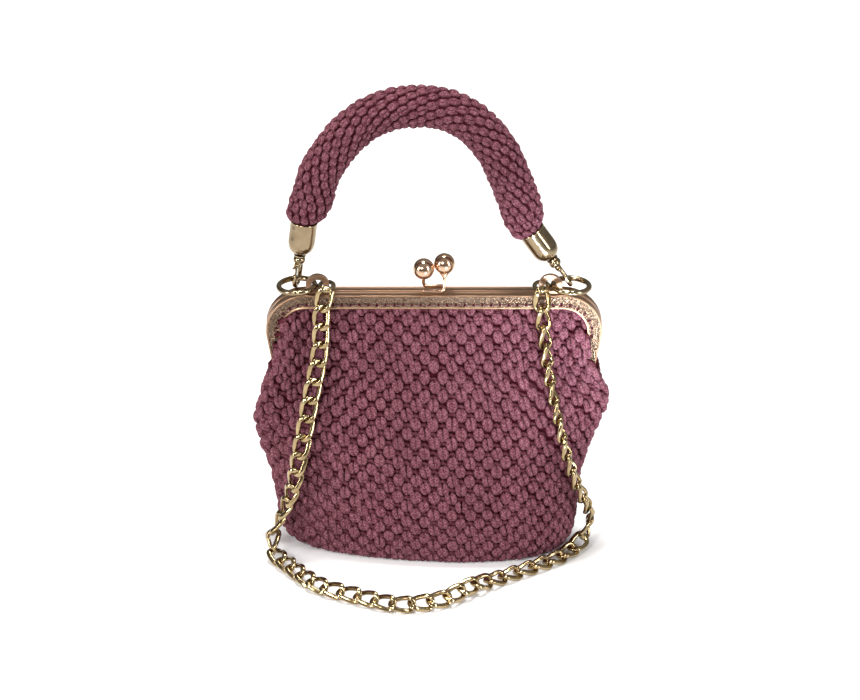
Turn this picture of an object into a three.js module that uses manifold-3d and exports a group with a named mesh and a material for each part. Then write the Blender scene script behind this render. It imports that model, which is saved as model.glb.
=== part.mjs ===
// Crochet evening bag on a kiss-lock frame, with a stuffed handle on swivel hooks and a curb chain.
// Millimetres, +Z up. The front of the bag faces -Y, and the origin is the middle of the base.
import * as THREE from "three";
import { mergeVertices } from "three/addons/utils/BufferGeometryUtils.js";
import Module from "manifold-3d";

const wasm = await Module();
wasm.setup();

// Driving dimensions
const CLEARANCE = 0.35;
const WELD = 1e-4;
const FRAME = {
  width: 205,
  topZ: 166,
  cornerRadius: 24,
  arcSteps: 6,
  legLean: THREE.MathUtils.degToRad(11),
  legEndZ: 114,
  outerY: 7,
  innerY: 0.4,
  faceHeight: 9,
  innerHeight: 6,
  roof: 1.1,
  faceWall: 0.9,
  innerWall: 1.5,
  bevel: 0.7,
};
const HINGE = {
  z: 109.5,
  tabRadius: 4.2,
  tabWall: 1.1,
  tabGap: 0.5,
  plateFrom: 108.5,
  plateTo: 116.5,
  rivetRadius: 1.6,
  rivetRoom: 0.3,
  headRadius: 2.7,
  headHeight: 1.1,
};
const LUG = { x: 71, holeZ: 172, radius: 7.2, holeRadius: 3.6, thickness: 2.6, arcSteps: 5 };
const KNOB = {
  ballRadius: 6.6,
  stemRadius: 1.15,
  stemSteps: 8,
  stemTop: 4,
  neckRadius: 1.95,
  neckFrom: 0.86,
  halfSpan: 6.3,
  crossing: 2.4,
  frontHeight: 17.2,
  backHeight: 16,
  footLift: 0.5,
};
const RING = { meanRadius: 11, wireRadius: 1.4, tiltOut: 3, play: 0.6 };
const HOOK = {
  wireRadius: 1.3,
  halfWidth: 4.7,
  barRoom: 1.8,
  tipHeight: 2.9,
  pivotHeight: 9.8,
  pivotOffset: 3.4,
  ballHeight: 12.6,
  ballRadius: 3.3,
  bendSteps: 6,
  wireSteps: 13,
};
const EAR = { length: 3.4, height: 4.6, wall: 0.8, inward: 0.8, rise: 0.9 };
const GATE = {
  radius: 1.05,
  knuckleRadius: 1.8,
  knuckleHalf: 0.7,
  tipLift: 0.5,
  sideRoom: 0.3,
  turnRoom: 0.4,
  pinRadius: 0.7,
  pinRoom: 0.35,
};
const LEVER = { reach: 6.8, length: 6.4, height: 1.1, rise: 0.5, thumbRadius: 1.5, roomReach: 6, roomHeight: 4.2 };
const CAP = { height: 22, seat: 16.6 };
const HANDLE = { y: 7.2, radius: 13, plugDepth: 12, straight: 6, sides: 10, steps: 16 };
const CHAIN = { wireRadius: 1.2, pitch: 11.8, width: 10.6, overlap: 0.2, twist: 1.8, sides: 5, squareness: 0.8 };
// Where a link's wire has its corners, in degrees round one half of it: closer together at the bends
const LINK_CORNERS = [0, 25, 62, 118, 155];
const BODY = { wall: 4, mouthHalf: 2.2, topZ: 164.4, around: 24, slitTop: 171, slitWidth: 225 };
// The room in the body round each hinge: its size, and how far its middle is out from and above the rivet
const NOTCH = { width: 24, height: 15, outward: 2, up: 2 };
// Each hook's lean from upright, the place of its bar on the ring, and its turn about its own post, in degrees
const LEFT_HOOK = { end: -1, lean: 6.8, barAngle: 90, turn: 72 };
const RIGHT_HOOK = { end: 1, lean: 34, barAngle: 105, turn: 79 };

// The body's sections from the base up to the frame's legs: half-widths to each side, half-depth,
// roundness of the section (2 is an ellipse, less is a lens) and the turn of the soft base in degrees
const BODY_SECTIONS = [
  { z: 0, left: 85, right: 76, depth: 35, roundness: 2.25, turn: -6 },
  { z: 3, left: 90, right: 80.5, depth: 38.5, roundness: 2.25, turn: -6 },
  { z: 11, left: 94, right: 85, depth: 41, roundness: 2.3, turn: -6 },
  { z: 30, left: 96.5, right: 87.5, depth: 41.5, roundness: 2.35, turn: -5.5 },
  { z: 48, left: 100.5, right: 89.4, depth: 40, roundness: 2.35, turn: -5 },
  { z: 64, left: 106, right: 94, depth: 37.5, roundness: 2.3, turn: -4 },
  { z: 81, left: 109.5, right: 100.5, depth: 34, roundness: 2.15, turn: -3 },
  { z: 95, left: 105, right: 105.5, depth: 30, roundness: 2, turn: -2 },
  { z: 108, left: 101, right: 101, depth: 25.5, roundness: 1.8, turn: -1 },
];
// Inside the frame the width follows the legs, so these rows hold only the depth and the roundness
const FRAME_SECTIONS = [
  { z: 119, depth: 20.5, roundness: 1.65 },
  { z: 131, depth: 16.5, roundness: 1.65 },
  { z: 143, depth: 13, roundness: 1.75 },
  { z: 152, depth: 9.4, roundness: 2.1 },
  { z: 158, depth: 6, roundness: 3 },
  { z: BODY.topZ, depth: 5.7, roundness: 4 },
];

// The knob's wire from the far end of its foot: sideways share of the half-span, share of the roof's depth, rise
const STEM_ROUTE = [
  { across: -1, depth: 1, rise: 0 },
  { across: 0, depth: 1, rise: 0 },
  { across: 0.8, depth: 1, rise: 0 },
  { across: 1, depth: 0.95, rise: 2.2 },
  { across: 1, depth: 0.4, rise: 6 },
];

// The hook's wire from its ball out to the bend: share of the half-width, drop below the ball
const SHANK_ROUTE = [
  { across: 0, drop: 1 },
  { across: 0.75, drop: 3 },
  { across: 1, drop: 6 },
];

// The hook's post: from the ball up past its collar and through the cap's floor to the head that holds it
const POST_PROFILE = [
  { radius: 0, height: HOOK.ballHeight },
  { radius: 1.5, height: HOOK.ballHeight },
  { radius: 1.5, height: 15 },
  { radius: 3.3, height: 15 },
  { radius: 3.3, height: 16 },
  { radius: 1.5, height: 16 },
  { radius: 1.5, height: 20.5 },
  { radius: 3.2, height: 20.5 },
  { radius: 3.2, height: 21.7 },
  { radius: 0, height: 21.7 },
];

// The bell-shaped cap, up its outside from the hole in its floor and down its inside
const CAP_PROFILE = [
  { radius: 1.9, height: 0 },
  { radius: 4.15, height: 0.5 },
  { radius: 6.64, height: 2.6 },
  { radius: 7.97, height: 5.8 },
  { radius: 8.3, height: 9 },
  { radius: 8.3, height: CAP.height },
  { radius: 7.4, height: CAP.height },
  { radius: 7.4, height: 9 },
  { radius: 6.31, height: 6 },
  { radius: 3.98, height: 3.6 },
  { radius: 1.9, height: 3 },
  { radius: 1.9, height: 0 },
];

// The handle's end, by the distance from its tip inside the cap: a plug, a step at the mouth and a round shoulder
const HANDLE_END = [
  { from: 0, radius: 6.5 },
  { from: 12.2, radius: 6.5 },
  { from: 12.7, radius: 9.4 },
  { from: 17.2, radius: 11.9 },
  { from: 25, radius: HANDLE.radius },
];

// The handle's centre line between its caps, in the plane y = HANDLE.y
const HANDLE_ARCH = [
  { x: -74.4, z: 224 },
  { x: -69.8, z: 241 },
  { x: -61, z: 256.5 },
  { x: -52, z: 268 },
  { x: -39, z: 278.5 },
  { x: -23.8, z: 284.6 },
  { x: -8, z: 286 },
  { x: 7.5, z: 283.8 },
  { x: 22, z: 276 },
  { x: 31, z: 267 },
  { x: 39, z: 255.5 },
  { x: 45.5, z: 240.5 },
  { x: 51.5, z: 224 },
];

// The chain's route from the left lug to the right one, with the way that its flat side faces
const CHAIN_ROUTE = [
  { at: [-65.4, -6, 172], facing: [0, 0, 1] },
  { at: [-65.6, -12, 172], facing: [0, -0.5, 0.85] },
  { at: [-68.2, -15, 161], facing: [0, -1, 0.1] },
  { at: [-69.5, -18, 134], facing: [0, -1, 0.1] },
  { at: [-75.4, -25, 104], facing: [-0.15, -1, 0.1] },
  { at: [-81.4, -31.5, 73.5], facing: [-0.3, -0.95, 0.1] },
  { at: [-87.2, -29, 44], facing: [-0.75, -0.65, 0] },
  { at: [-93, -24, 27], facing: [-1, -0.2, 0] },
  { at: [-98, -25, 14], facing: [-0.9, 0, 0.4] },
  { at: [-97, -35, 6], facing: [-0.4, -0.2, 0.9] },
  { at: [-88, -52, 5.2], facing: [-0.3, -0.5, 0.8] },
  { at: [-70, -79, 5.2], facing: [-0.2, -0.6, 0.78] },
  { at: [-45, -95, 5.2], facing: [0, -0.62, 0.78] },
  { at: [-20, -106, 5.2], facing: [0, -0.62, 0.78] },
  { at: [6, -99, 5.6], facing: [0.1, -0.7, 0.7] },
  { at: [22, -85, 7], facing: [0.75, -0.2, 0.6] },
  { at: [40, -67, 4], facing: [0.1, -0.3, 0.95] },
  { at: [60, -51, 3.6], facing: [0, -0.2, 1] },
  { at: [80, -33, 3.8], facing: [0.1, -0.2, 1] },
  { at: [91.5, -17, 8], facing: [0.6, 0, 0.8] },
  { at: [95.5, -13.5, 20], facing: [1, 0.1, 0.1] },
  { at: [92.5, -23, 35], facing: [1, 0, 0] },
  { at: [86.5, -30, 52], facing: [1, -0.1, 0] },
  { at: [80.5, -34.5, 74], facing: [1, -0.1, 0] },
  { at: [75, -30.5, 98], facing: [1, -0.1, 0] },
  { at: [70, -21.5, 122], facing: [0.9, -0.3, 0] },
  { at: [67.5, -17, 144], facing: [0.7, -0.7, 0] },
  { at: [66, -15, 161], facing: [0.3, -0.9, 0.1] },
  { at: [65.4, -12, 172], facing: [0, -0.5, 0.85] },
  { at: [65.4, -6, 172], facing: [0, 0, 1] },
];

// Materials
const metal = (color, roughness) => new THREE.MeshStandardMaterial({ color, roughness, metalness: 1 });
const CROCHET = new THREE.MeshStandardMaterial({ color: 0x7f4c5c, roughness: 0.85, metalness: 0 });
const FRAME_GOLD = metal(0xc4a287, 0.35);
const KNOB_GOLD = metal(0xc79a7b, 0.12);
const FITTING_GOLD = metal(0xc9b184, 0.15);
const CHAIN_GOLD = metal(0xbfa065, 0.22);

// Solids and meshes

function solid(geometry) {
  const bare = geometry.clone();
  bare.deleteAttribute("normal");
  bare.deleteAttribute("uv");
  const merged = mergeVertices(bare, WELD);
  return new wasm.Manifold(
    new wasm.Mesh({
      numProp: 3,
      vertProperties: new Float32Array(merged.attributes.position.array),
      triVerts: new Uint32Array(merged.index.array),
    }),
  );
}

function joined(...solids) {
  return solids.reduce((whole, piece) => whole.add(piece));
}

function meshOf(name, made, material) {
  const { numProp, numVert, vertProperties, triVerts } = made.getMesh();
  const positions = new Float32Array(numVert * 3);
  for (let i = 0; i < numVert; i++) {
    positions.set(vertProperties.subarray(i * numProp, i * numProp + 3), i * 3);
  }
  const geometry = new THREE.BufferGeometry();
  geometry.setAttribute("position", new THREE.BufferAttribute(positions, 3));
  geometry.setIndex(new THREE.BufferAttribute(new Uint32Array(triVerts), 1));
  geometry.computeVertexNormals();
  const mesh = new THREE.Mesh(geometry, material);
  mesh.name = name;
  return mesh;
}

// A skin through rings of points that run the same way round, closed by flat ends or joined end to end
function loft(rings, endless = false) {
  const count = rings[0].length;
  const index = [];
  for (let r = 0; r < rings.length - (endless ? 0 : 1); r++) {
    const here = r * count;
    const next = ((r + 1) % rings.length) * count;
    for (let i = 0; i < count; i++) {
      const j = (i + 1) % count;
      index.push(here + i, here + j, next + j, here + i, next + j, next + i);
    }
  }
  if (!endless) {
    const last = (rings.length - 1) * count;
    for (const [a, b, c] of flatTriangles(rings[0])) index.push(c, b, a);
    for (const [a, b, c] of flatTriangles(rings[rings.length - 1])) index.push(last + a, last + b, last + c);
  }
  const geometry = new THREE.BufferGeometry();
  const positions = rings.flat().flatMap((p) => [p.x, p.y, p.z]);
  geometry.setAttribute("position", new THREE.Float32BufferAttribute(positions, 3));
  geometry.setIndex(index);
  return geometry;
}

// Triangles of one flat ring, wound as the ring is
function flatTriangles(ring) {
  const normal = new THREE.Vector3();
  ring.forEach((p, i) => normal.add(new THREE.Vector3().crossVectors(p, ring[(i + 1) % ring.length])));
  const turn = new THREE.Quaternion().setFromUnitVectors(normal.normalize(), new THREE.Vector3(0, 0, 1));
  const flat = ring.map((p) => p.clone().applyQuaternion(turn)).map((p) => new THREE.Vector2(p.x, p.y));
  return THREE.ShapeUtils.triangulateShape(flat, []);
}

// A round tube along a curve, as an extrusion with closed ends; a circle has two sides to each segment
function tube(curve, radius, steps, sides = 6) {
  const section = new THREE.Shape().absarc(0, 0, radius, 0, 2 * Math.PI);
  return new THREE.ExtrudeGeometry(section, { extrudePath: curve, steps, curveSegments: sides / 2 });
}

function turned(profile, sides = 10) {
  const points = profile.map(({ radius, height }) => new THREE.Vector2(radius, height));
  return new THREE.LatheGeometry(points, sides).rotateX(Math.PI / 2);
}

function rod(radius, length, sides = 8) {
  return new THREE.CylinderGeometry(radius, radius, length, sides);
}

function smoothCurve(points) {
  return new THREE.CatmullRomCurve3(points.map((p) => new THREE.Vector3(...p)), false, "centripetal");
}

// Kiss-lock frame

const cornerX = FRAME.width / 2 - FRAME.cornerRadius;
const cornerZ = FRAME.topZ - FRAME.cornerRadius;

// Half-width of a line that runs inside the frame's outer edge, at a height on its corner or leg
function legHalfWidth(z, inset) {
  const radius = FRAME.cornerRadius - inset;
  const lean = FRAME.legLean;
  const arcEndZ = cornerZ - radius * Math.sin(lean);
  if (z >= arcEndZ) return cornerX + Math.sqrt(Math.max(0, radius ** 2 - (z - cornerZ) ** 2));
  return cornerX + radius * Math.cos(lean) - (arcEndZ - z) * Math.tan(lean);
}

// Stations along the frame's outer edge from the left leg's end to the right one: a place and the way in
function frameStations() {
  const right = [];
  for (let i = 0; i <= FRAME.arcSteps; i++) {
    const angle = THREE.MathUtils.lerp(Math.PI / 2, -FRAME.legLean, i / FRAME.arcSteps);
    const out = new THREE.Vector3(Math.cos(angle), 0, Math.sin(angle));
    const place = new THREE.Vector3(cornerX, 0, cornerZ).addScaledVector(out, FRAME.cornerRadius);
    right.push({ place, inward: out.negate() });
  }
  const lean = right[right.length - 1];
  const legEnd = new THREE.Vector3(legHalfWidth(FRAME.legEndZ, 0), 0, FRAME.legEndZ);
  right.push({ place: legEnd, inward: lean.inward.clone() });
  const flip = new THREE.Vector3(-1, 1, 1);
  const left = right.map((s) => ({ place: s.place.clone().multiply(flip), inward: s.inward.clone().multiply(flip) }));
  return [...left.reverse(), ...right];
}

// The channel's section as depth and distance inward; grow fattens it for the clearance that the cloth keeps
function channelSection(grow = 0) {
  const { outerY, innerY, faceHeight, innerHeight, roof, faceWall, innerWall, bevel } = FRAME;
  const out = outerY + grow;
  const inside = innerY - grow;
  return [
    [out - bevel, -grow],
    [inside + bevel, -grow],
    [inside, bevel - grow],
    [inside, innerHeight + grow],
    [innerY + innerWall + grow, innerHeight + grow],
    [innerY + innerWall + grow, roof + grow],
    [outerY - faceWall - grow, roof + grow],
    [outerY - faceWall - grow, faceHeight + grow],
    [out, faceHeight + grow],
    [out, bevel - grow],
  ];
}

function channel(side, grow = 0) {
  const rings = frameStations().map(({ place, inward }) =>
    channelSection(grow).map(([depth, inset]) => {
      const p = place.clone().addScaledVector(inward, inset);
      p.y = side * depth;
      return p;
    }),
  );
  return solid(loft(side < 0 ? rings.reverse() : rings));
}

// A hinge tab at the end of a leg: a plate across the leg, with a hole for the rivet
function hingeTab(end, side, plateX) {
  const { tabRadius, tabWall, plateFrom, plateTo, rivetRadius, rivetRoom, z } = HINGE;
  const reach = FRAME.outerY - FRAME.faceWall / 2;
  const disc = rod(tabRadius, tabWall, 10).rotateZ(Math.PI / 2).translate(end * plateX, 0, z);
  const plate = new THREE.BoxGeometry(tabWall, reach, plateTo - plateFrom);
  plate.translate(end * plateX, (side * reach) / 2, (plateTo + plateFrom) / 2);
  const hole = rod(rivetRadius + rivetRoom, 2 * tabWall).rotateZ(Math.PI / 2).translate(end * plateX, 0, z);
  return joined(solid(disc), solid(plate)).subtract(solid(hole));
}

const outerTabX = legHalfWidth(FRAME.legEndZ, FRAME.roof / 2);
const innerTabX = outerTabX - HINGE.tabWall - HINGE.tabGap;
const frontTopY = -(FRAME.outerY + FRAME.innerY) / 2;

// A lug: a half-round plate soldered on the frame's roof, with a round hole
function lug(end) {
  const { x, holeZ, radius, holeRadius, thickness } = LUG;
  const outline = new THREE.Shape();
  outline.moveTo(-radius, FRAME.topZ - holeZ - FRAME.roof / 2);
  outline.lineTo(radius, FRAME.topZ - holeZ - FRAME.roof / 2);
  outline.absarc(0, 0, radius, 0, Math.PI, false);
  outline.holes.push(new THREE.Path().absarc(0, 0, holeRadius, 0, 2 * Math.PI));
  const plate = new THREE.ExtrudeGeometry(outline, { depth: thickness, bevelEnabled: false, curveSegments: LUG.arcSteps });
  plate.rotateX(Math.PI / 2).translate(end * x, frontTopY + thickness / 2, holeZ);
  return solid(plate);
}

function frameHalf(side) {
  const tabX = side < 0 ? outerTabX : innerTabX;
  const tabs = [-1, 1].map((end) => hingeTab(end, side, tabX));
  const lugs = side < 0 ? [lug(-1), lug(1)] : [];
  return joined(channel(side), ...tabs, ...lugs);
}

function hingeRivet(end) {
  const { rivetRadius, rivetRoom, headRadius, headHeight, tabWall, z } = HINGE;
  const outside = outerTabX + tabWall / 2 + rivetRoom;
  const inside = innerTabX - tabWall / 2 - rivetRoom;
  const shank = rod(rivetRadius, outside - inside + headHeight).rotateZ(Math.PI / 2);
  shank.translate((end * (outside + inside)) / 2, 0, z);
  const heads = [outside + headHeight / 2, inside - headHeight / 2].map((x) =>
    solid(rod(headRadius, headHeight, 10).rotateZ(Math.PI / 2).translate(end * x, 0, z)),
  );
  return joined(solid(shank), ...heads);
}

// A ball knob: a foot along the roof, a stem that leans across to the other half, and the ball
function clasp(side) {
  const { ballRadius, stemRadius, stemSteps, stemTop, neckRadius, neckFrom } = KNOB;
  const x = -side * KNOB.halfSpan;
  const roofY = -side * frontTopY;
  const footZ = FRAME.topZ + KNOB.footLift + stemRadius;
  const ballZ = FRAME.topZ + (side < 0 ? KNOB.frontHeight : KNOB.backHeight);
  const ball = new THREE.Vector3(x, -side * KNOB.crossing, ballZ);
  const stem = smoothCurve([
    ...STEM_ROUTE.map(({ across, depth, rise }) => [x * across, roofY * depth, footZ + rise]),
    [ball.x, ball.y, ball.z - stemTop],
  ]);
  const neck = tube(new THREE.LineCurve3(stem.getPointAt(neckFrom), ball), neckRadius, 1);
  const sphere = new THREE.SphereGeometry(ballRadius, 12, 8).rotateX(Math.PI / 2);
  sphere.translate(ball.x, ball.y, ball.z);
  return joined(solid(tube(stem, stemRadius, stemSteps)), solid(neck), solid(sphere));
}

// Crochet body

const bodySections = [
  ...BODY_SECTIONS,
  ...FRAME_SECTIONS.map((row) => {
    const halfWidth = legHalfWidth(row.z, FRAME.roof + CLEARANCE);
    return { ...row, left: halfWidth, right: halfWidth, turn: 0 };
  }),
];

function sectionRing(row, inset) {
  const depth = Math.max(row.depth - inset, BODY.mouthHalf);
  const turn = new THREE.Vector3(0, 0, 1);
  const ring = [];
  for (let i = 0; i < BODY.around; i++) {
    const angle = (2 * Math.PI * i) / BODY.around;
    const cos = Math.cos(angle);
    const sin = Math.sin(angle);
    const halfWidth = (cos < 0 ? row.left : row.right) - inset;
    const x = halfWidth * Math.sign(cos) * Math.abs(cos) ** (2 / row.roundness);
    const y = depth * Math.sign(sin) * Math.abs(sin) ** (2 / row.roundness);
    ring.push(new THREE.Vector3(x, y, row.z).applyAxisAngle(turn, THREE.MathUtils.degToRad(row.turn)));
  }
  return ring;
}

function bagBody() {
  const outside = solid(loft(bodySections.map((row) => sectionRing(row, 0))));
  const floorRow = { ...bodySections[1], z: BODY.wall };
  const aboveTop = { ...bodySections.at(-1), z: FRAME.topZ };
  const everyOther = bodySections.filter((row, i) => i > 2 && i % 2 === 1);
  const cavity = solid(loft([floorRow, ...everyOther, aboveTop].map((row) => sectionRing(row, BODY.wall))));
  const slit = new THREE.BoxGeometry(BODY.slitWidth, 2 * BODY.mouthHalf, BODY.slitTop - HINGE.z);
  slit.translate(0, 0, (BODY.slitTop + HINGE.z) / 2);
  const notches = [-1, 1].map((end) => {
    const notch = new THREE.BoxGeometry(NOTCH.width, 2 * (FRAME.outerY + CLEARANCE), NOTCH.height);
    return solid(notch.translate(end * (outerTabX + NOTCH.outward), 0, HINGE.z + NOTCH.up));
  });
  const away = joined(cavity, solid(slit), channel(-1, CLEARANCE), channel(1, CLEARANCE), ...notches);
  return outside.subtract(away);
}

// Rings, hooks, gates and caps, each pair placed from its lug

function hookGroup({ end, lean, barAngle, turn }) {
  const through = new THREE.Vector3(end * LUG.x, frontTopY, LUG.holeZ);
  const ringCentreX = LUG.holeRadius - RING.wireRadius - RING.play + RING.meanRadius;
  const ringTilt = new THREE.Group();
  ringTilt.position.copy(through);
  ringTilt.rotation.y = THREE.MathUtils.degToRad(end * RING.tiltOut);
  const ring = new THREE.TorusGeometry(RING.meanRadius, RING.wireRadius, 6, 16);
  const ringMesh = meshOf(end < 0 ? "ring_left" : "ring_right", solid(ring), FITTING_GOLD);
  ringMesh.position.x = end * ringCentreX;
  ringTilt.add(ringMesh);
  ringTilt.updateMatrixWorld(true);

  // The hook hangs on the ring's back bar, turned about its own post
  const group = new THREE.Group();
  const round = THREE.MathUtils.degToRad(barAngle);
  const bar = new THREE.Vector3(end * Math.cos(round), Math.sin(round), 0).multiplyScalar(RING.meanRadius);
  group.position.copy(ringMesh.localToWorld(bar));
  group.rotation.y = THREE.MathUtils.degToRad(-end * lean);
  const swivel = new THREE.Group();
  swivel.rotation.z = THREE.MathUtils.degToRad(end < 0 ? turn : 180 - turn);
  const side = end < 0 ? "left" : "right";
  swivel.add(meshOf(`hook_${side}`, hook(), FITTING_GOLD), meshOf(`gate_${side}`, gate(), FITTING_GOLD));
  const cap = meshOf(`cap_${side}`, solid(turned(CAP_PROFILE)), FITTING_GOLD);
  cap.position.z = CAP.seat;
  group.add(swivel, cap);
  group.updateMatrixWorld(true);
  return { ringTilt, group, mouth: group.localToWorld(new THREE.Vector3(0, 0, CAP.seat + CAP.height)) };
}

// The hook's wire bends in its own XZ plane round the ring's bar at the origin, with the gate on the -X side
function hook() {
  const { wireRadius, wireSteps, halfWidth, bendSteps, tipHeight, pivotHeight, pivotOffset, ballHeight } = HOOK;
  const bendZ = halfWidth - RING.wireRadius - wireRadius - HOOK.barRoom;
  const bend = [];
  for (let i = 0; i <= bendSteps; i++) {
    const angle = (-Math.PI * i) / bendSteps;
    bend.push([halfWidth * Math.cos(angle), 0, bendZ + halfWidth * Math.sin(angle)]);
  }
  const wire = smoothCurve([
    ...SHANK_ROUTE.map(({ across, drop }) => [halfWidth * across, 0, ballHeight - drop]),
    ...bend,
    [-halfWidth, 0, tipHeight],
  ]);
  const ball = new THREE.SphereGeometry(HOOK.ballRadius, 8, 6).rotateX(Math.PI / 2).translate(0, 0, ballHeight);
  const post = turned(POST_PROFILE, 8);
  const roomHalf = GATE.knuckleHalf + GATE.sideRoom;
  const earY = roomHalf + EAR.wall / 2;
  const ears = [-1, 1].map((face) => {
    const ear = new THREE.BoxGeometry(EAR.length, EAR.wall, EAR.height);
    return solid(ear.translate(EAR.inward - pivotOffset, face * earY, pivotHeight + EAR.rise));
  });
  const pin = rod(GATE.pinRadius, 2 * earY).translate(-pivotOffset, 0, pivotHeight);
  const knuckleRoom = rod(GATE.knuckleRadius + GATE.turnRoom, 2 * roomHalf, 10);
  knuckleRoom.translate(-pivotOffset, 0, pivotHeight);
  const leverRoom = new THREE.BoxGeometry(LEVER.roomReach, 2 * roomHalf, LEVER.roomHeight);
  leverRoom.translate(-pivotOffset - LEVER.roomReach / 2, 0, pivotHeight);
  const body = joined(solid(tube(wire, wireRadius, wireSteps)), solid(ball), solid(post), ...ears);
  return body.subtract(joined(solid(knuckleRoom), solid(leverRoom))).add(solid(pin));
}

// The gate's bar runs from its knuckle down to the hook's tip, and its thumb lever stands out
function gate() {
  const { tipHeight, pivotHeight, pivotOffset, halfWidth, wireRadius } = HOOK;
  const pivot = new THREE.Vector3(-pivotOffset, 0, pivotHeight);
  const tip = new THREE.Vector3(-halfWidth, 0, tipHeight + GATE.tipLift);
  const bar = tube(new THREE.LineCurve3(tip, pivot), GATE.radius, 1);
  const width = 2 * GATE.knuckleHalf;
  const slim = new THREE.BoxGeometry(4 * wireRadius, width, 2 * pivotHeight);
  slim.translate(-pivotOffset, 0, pivotHeight);
  const knuckle = rod(GATE.knuckleRadius, width, 10).translate(pivot.x, 0, pivot.z);
  const leverZ = pivotHeight + LEVER.rise;
  const lever = new THREE.BoxGeometry(LEVER.length, width, LEVER.height);
  lever.translate(LEVER.length / 2 - LEVER.reach - pivotOffset, 0, leverZ);
  const thumb = rod(LEVER.thumbRadius, LEVER.height).rotateX(Math.PI / 2);
  thumb.translate(-pivotOffset - LEVER.reach, 0, leverZ);
  const hole = rod(GATE.pinRadius + GATE.pinRoom, 2 * width).translate(pivot.x, 0, pivot.z);
  const barFoot = solid(bar).intersect(solid(slim));
  return joined(barFoot, solid(knuckle), solid(lever), solid(thumb)).subtract(solid(hole));
}

// Handle: a stuffed tube whose ends are drawn in and pushed into the caps

function handleTube(leftEnd, rightEnd) {
  const axis = (lean) => new THREE.Vector3(Math.sin(lean), 0, Math.cos(lean));
  const ends = [leftEnd, rightEnd].map(({ group, mouth }) => ({ mouth, up: axis(group.rotation.y) }));
  const inside = ends.map(({ mouth, up }) => mouth.clone().addScaledVector(up, -HANDLE.plugDepth));
  const above = ends.map(({ mouth, up }) => mouth.clone().addScaledVector(up, HANDLE.straight));
  const arch = HANDLE_ARCH.map(({ x, z }) => new THREE.Vector3(x, HANDLE.y, z));
  const route = new THREE.CatmullRomCurve3(
    [inside[0], ends[0].mouth, above[0], ...arch, above[1], ends[1].mouth, inside[1]],
    false,
    "centripetal",
  );
  const length = route.getLength();
  const first = HANDLE_END.at(-1).from;
  const stations = [...HANDLE_END];
  for (let i = 1; i < HANDLE.steps; i++) {
    stations.push({ from: first + ((length - 2 * first) * i) / HANDLE.steps, radius: HANDLE.radius });
  }
  stations.push(...HANDLE_END.map(({ from, radius }) => ({ from: length - from, radius })).reverse());
  const across = new THREE.Vector3(0, 1, 0);
  const rings = stations.map(({ from, radius }) => {
    const centre = route.getPointAt(from / length);
    const along = route.getTangentAt(from / length);
    const out = new THREE.Vector3().crossVectors(across, along).normalize();
    return Array.from({ length: HANDLE.sides }, (_, i) => {
      const angle = (2 * Math.PI * i) / HANDLE.sides;
      return centre
        .clone()
        .addScaledVector(out, radius * Math.cos(angle))
        .addScaledVector(across, radius * Math.sin(angle));
    });
  });
  return solid(loft(rings));
}

// Chain

// One link about the origin, long in X and flat in Z; twisted links lie flat in the chain as curb links do
function link(twist) {
  const { wireRadius, pitch, width, overlap, sides, squareness } = CHAIN;
  const halfLength = (pitch + 2 * wireRadius - overlap) / 2;
  const halfWidth = width / 2 - wireRadius;
  const angles = [...LINK_CORNERS, ...LINK_CORNERS.map((degrees) => degrees + 180)].map(THREE.MathUtils.degToRad);
  const centres = angles.map((angle) => {
    const cos = Math.cos(angle);
    const sin = Math.sin(angle);
    const x = halfLength * Math.sign(cos) * Math.abs(cos) ** squareness;
    const y = halfWidth * Math.sign(sin) * Math.abs(sin) ** squareness;
    return new THREE.Vector3(x, y, twist * Math.sin(2 * angle));
  });
  const rings = centres.map((centre, i) => {
    const along = centres[(i + 1) % centres.length].clone().sub(centres.at(i - 1)).normalize();
    const inward = new THREE.Vector3(-along.y, along.x, 0).normalize();
    const up = new THREE.Vector3().crossVectors(along, inward);
    return Array.from({ length: sides }, (_, k) => {
      const angle = (2 * Math.PI * k) / sides;
      return centre
        .clone()
        .addScaledVector(inward, wireRadius * Math.cos(angle))
        .addScaledVector(up, wireRadius * Math.sin(angle));
    });
  });
  return solid(loft(rings, true));
}

function chain() {
  const route = smoothCurve(CHAIN_ROUTE.map((row) => row.at));
  const facing = smoothCurve(CHAIN_ROUTE.map((row) => row.facing));
  const count = Math.round(route.getLength() / CHAIN.pitch) + 1;
  const endLink = link(0);
  const curbLink = link(CHAIN.twist);
  const links = [];
  for (let i = 0; i < count; i++) {
    const share = i / (count - 1);
    const along = route.getTangentAt(share);
    const face = facing.getPoint(route.getUtoTmapping(share, 0));
    const across = new THREE.Vector3().crossVectors(face, along).normalize();
    const matrix = new THREE.Matrix4().makeBasis(along, across, new THREE.Vector3().crossVectors(along, across));
    matrix.setPosition(route.getPointAt(share));
    const atEnd = i === 0 || i === count - 1;
    links.push((atEnd ? endLink : curbLink).transform(matrix.elements));
  }
  return wasm.Manifold.union(links);
}

// Assembly

const bag = new THREE.Group();
bag.add(meshOf("bag_body", bagBody(), CROCHET));
bag.add(meshOf("frame_front", frameHalf(-1), FRAME_GOLD), meshOf("frame_back", frameHalf(1), FRAME_GOLD));
bag.add(meshOf("hinge_rivet_left", hingeRivet(-1), FRAME_GOLD));
bag.add(meshOf("hinge_rivet_right", hingeRivet(1), FRAME_GOLD));
bag.add(meshOf("clasp_knob_front", clasp(-1), KNOB_GOLD), meshOf("clasp_knob_back", clasp(1), KNOB_GOLD));
const leftEnd = hookGroup(LEFT_HOOK);
const rightEnd = hookGroup(RIGHT_HOOK);
for (const { ringTilt, group } of [leftEnd, rightEnd]) bag.add(ringTilt, group);
bag.add(meshOf("handle_tube", handleTube(leftEnd, rightEnd), CROCHET));
bag.add(meshOf("chain", chain(), CHAIN_GOLD));

export default bag;
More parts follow.
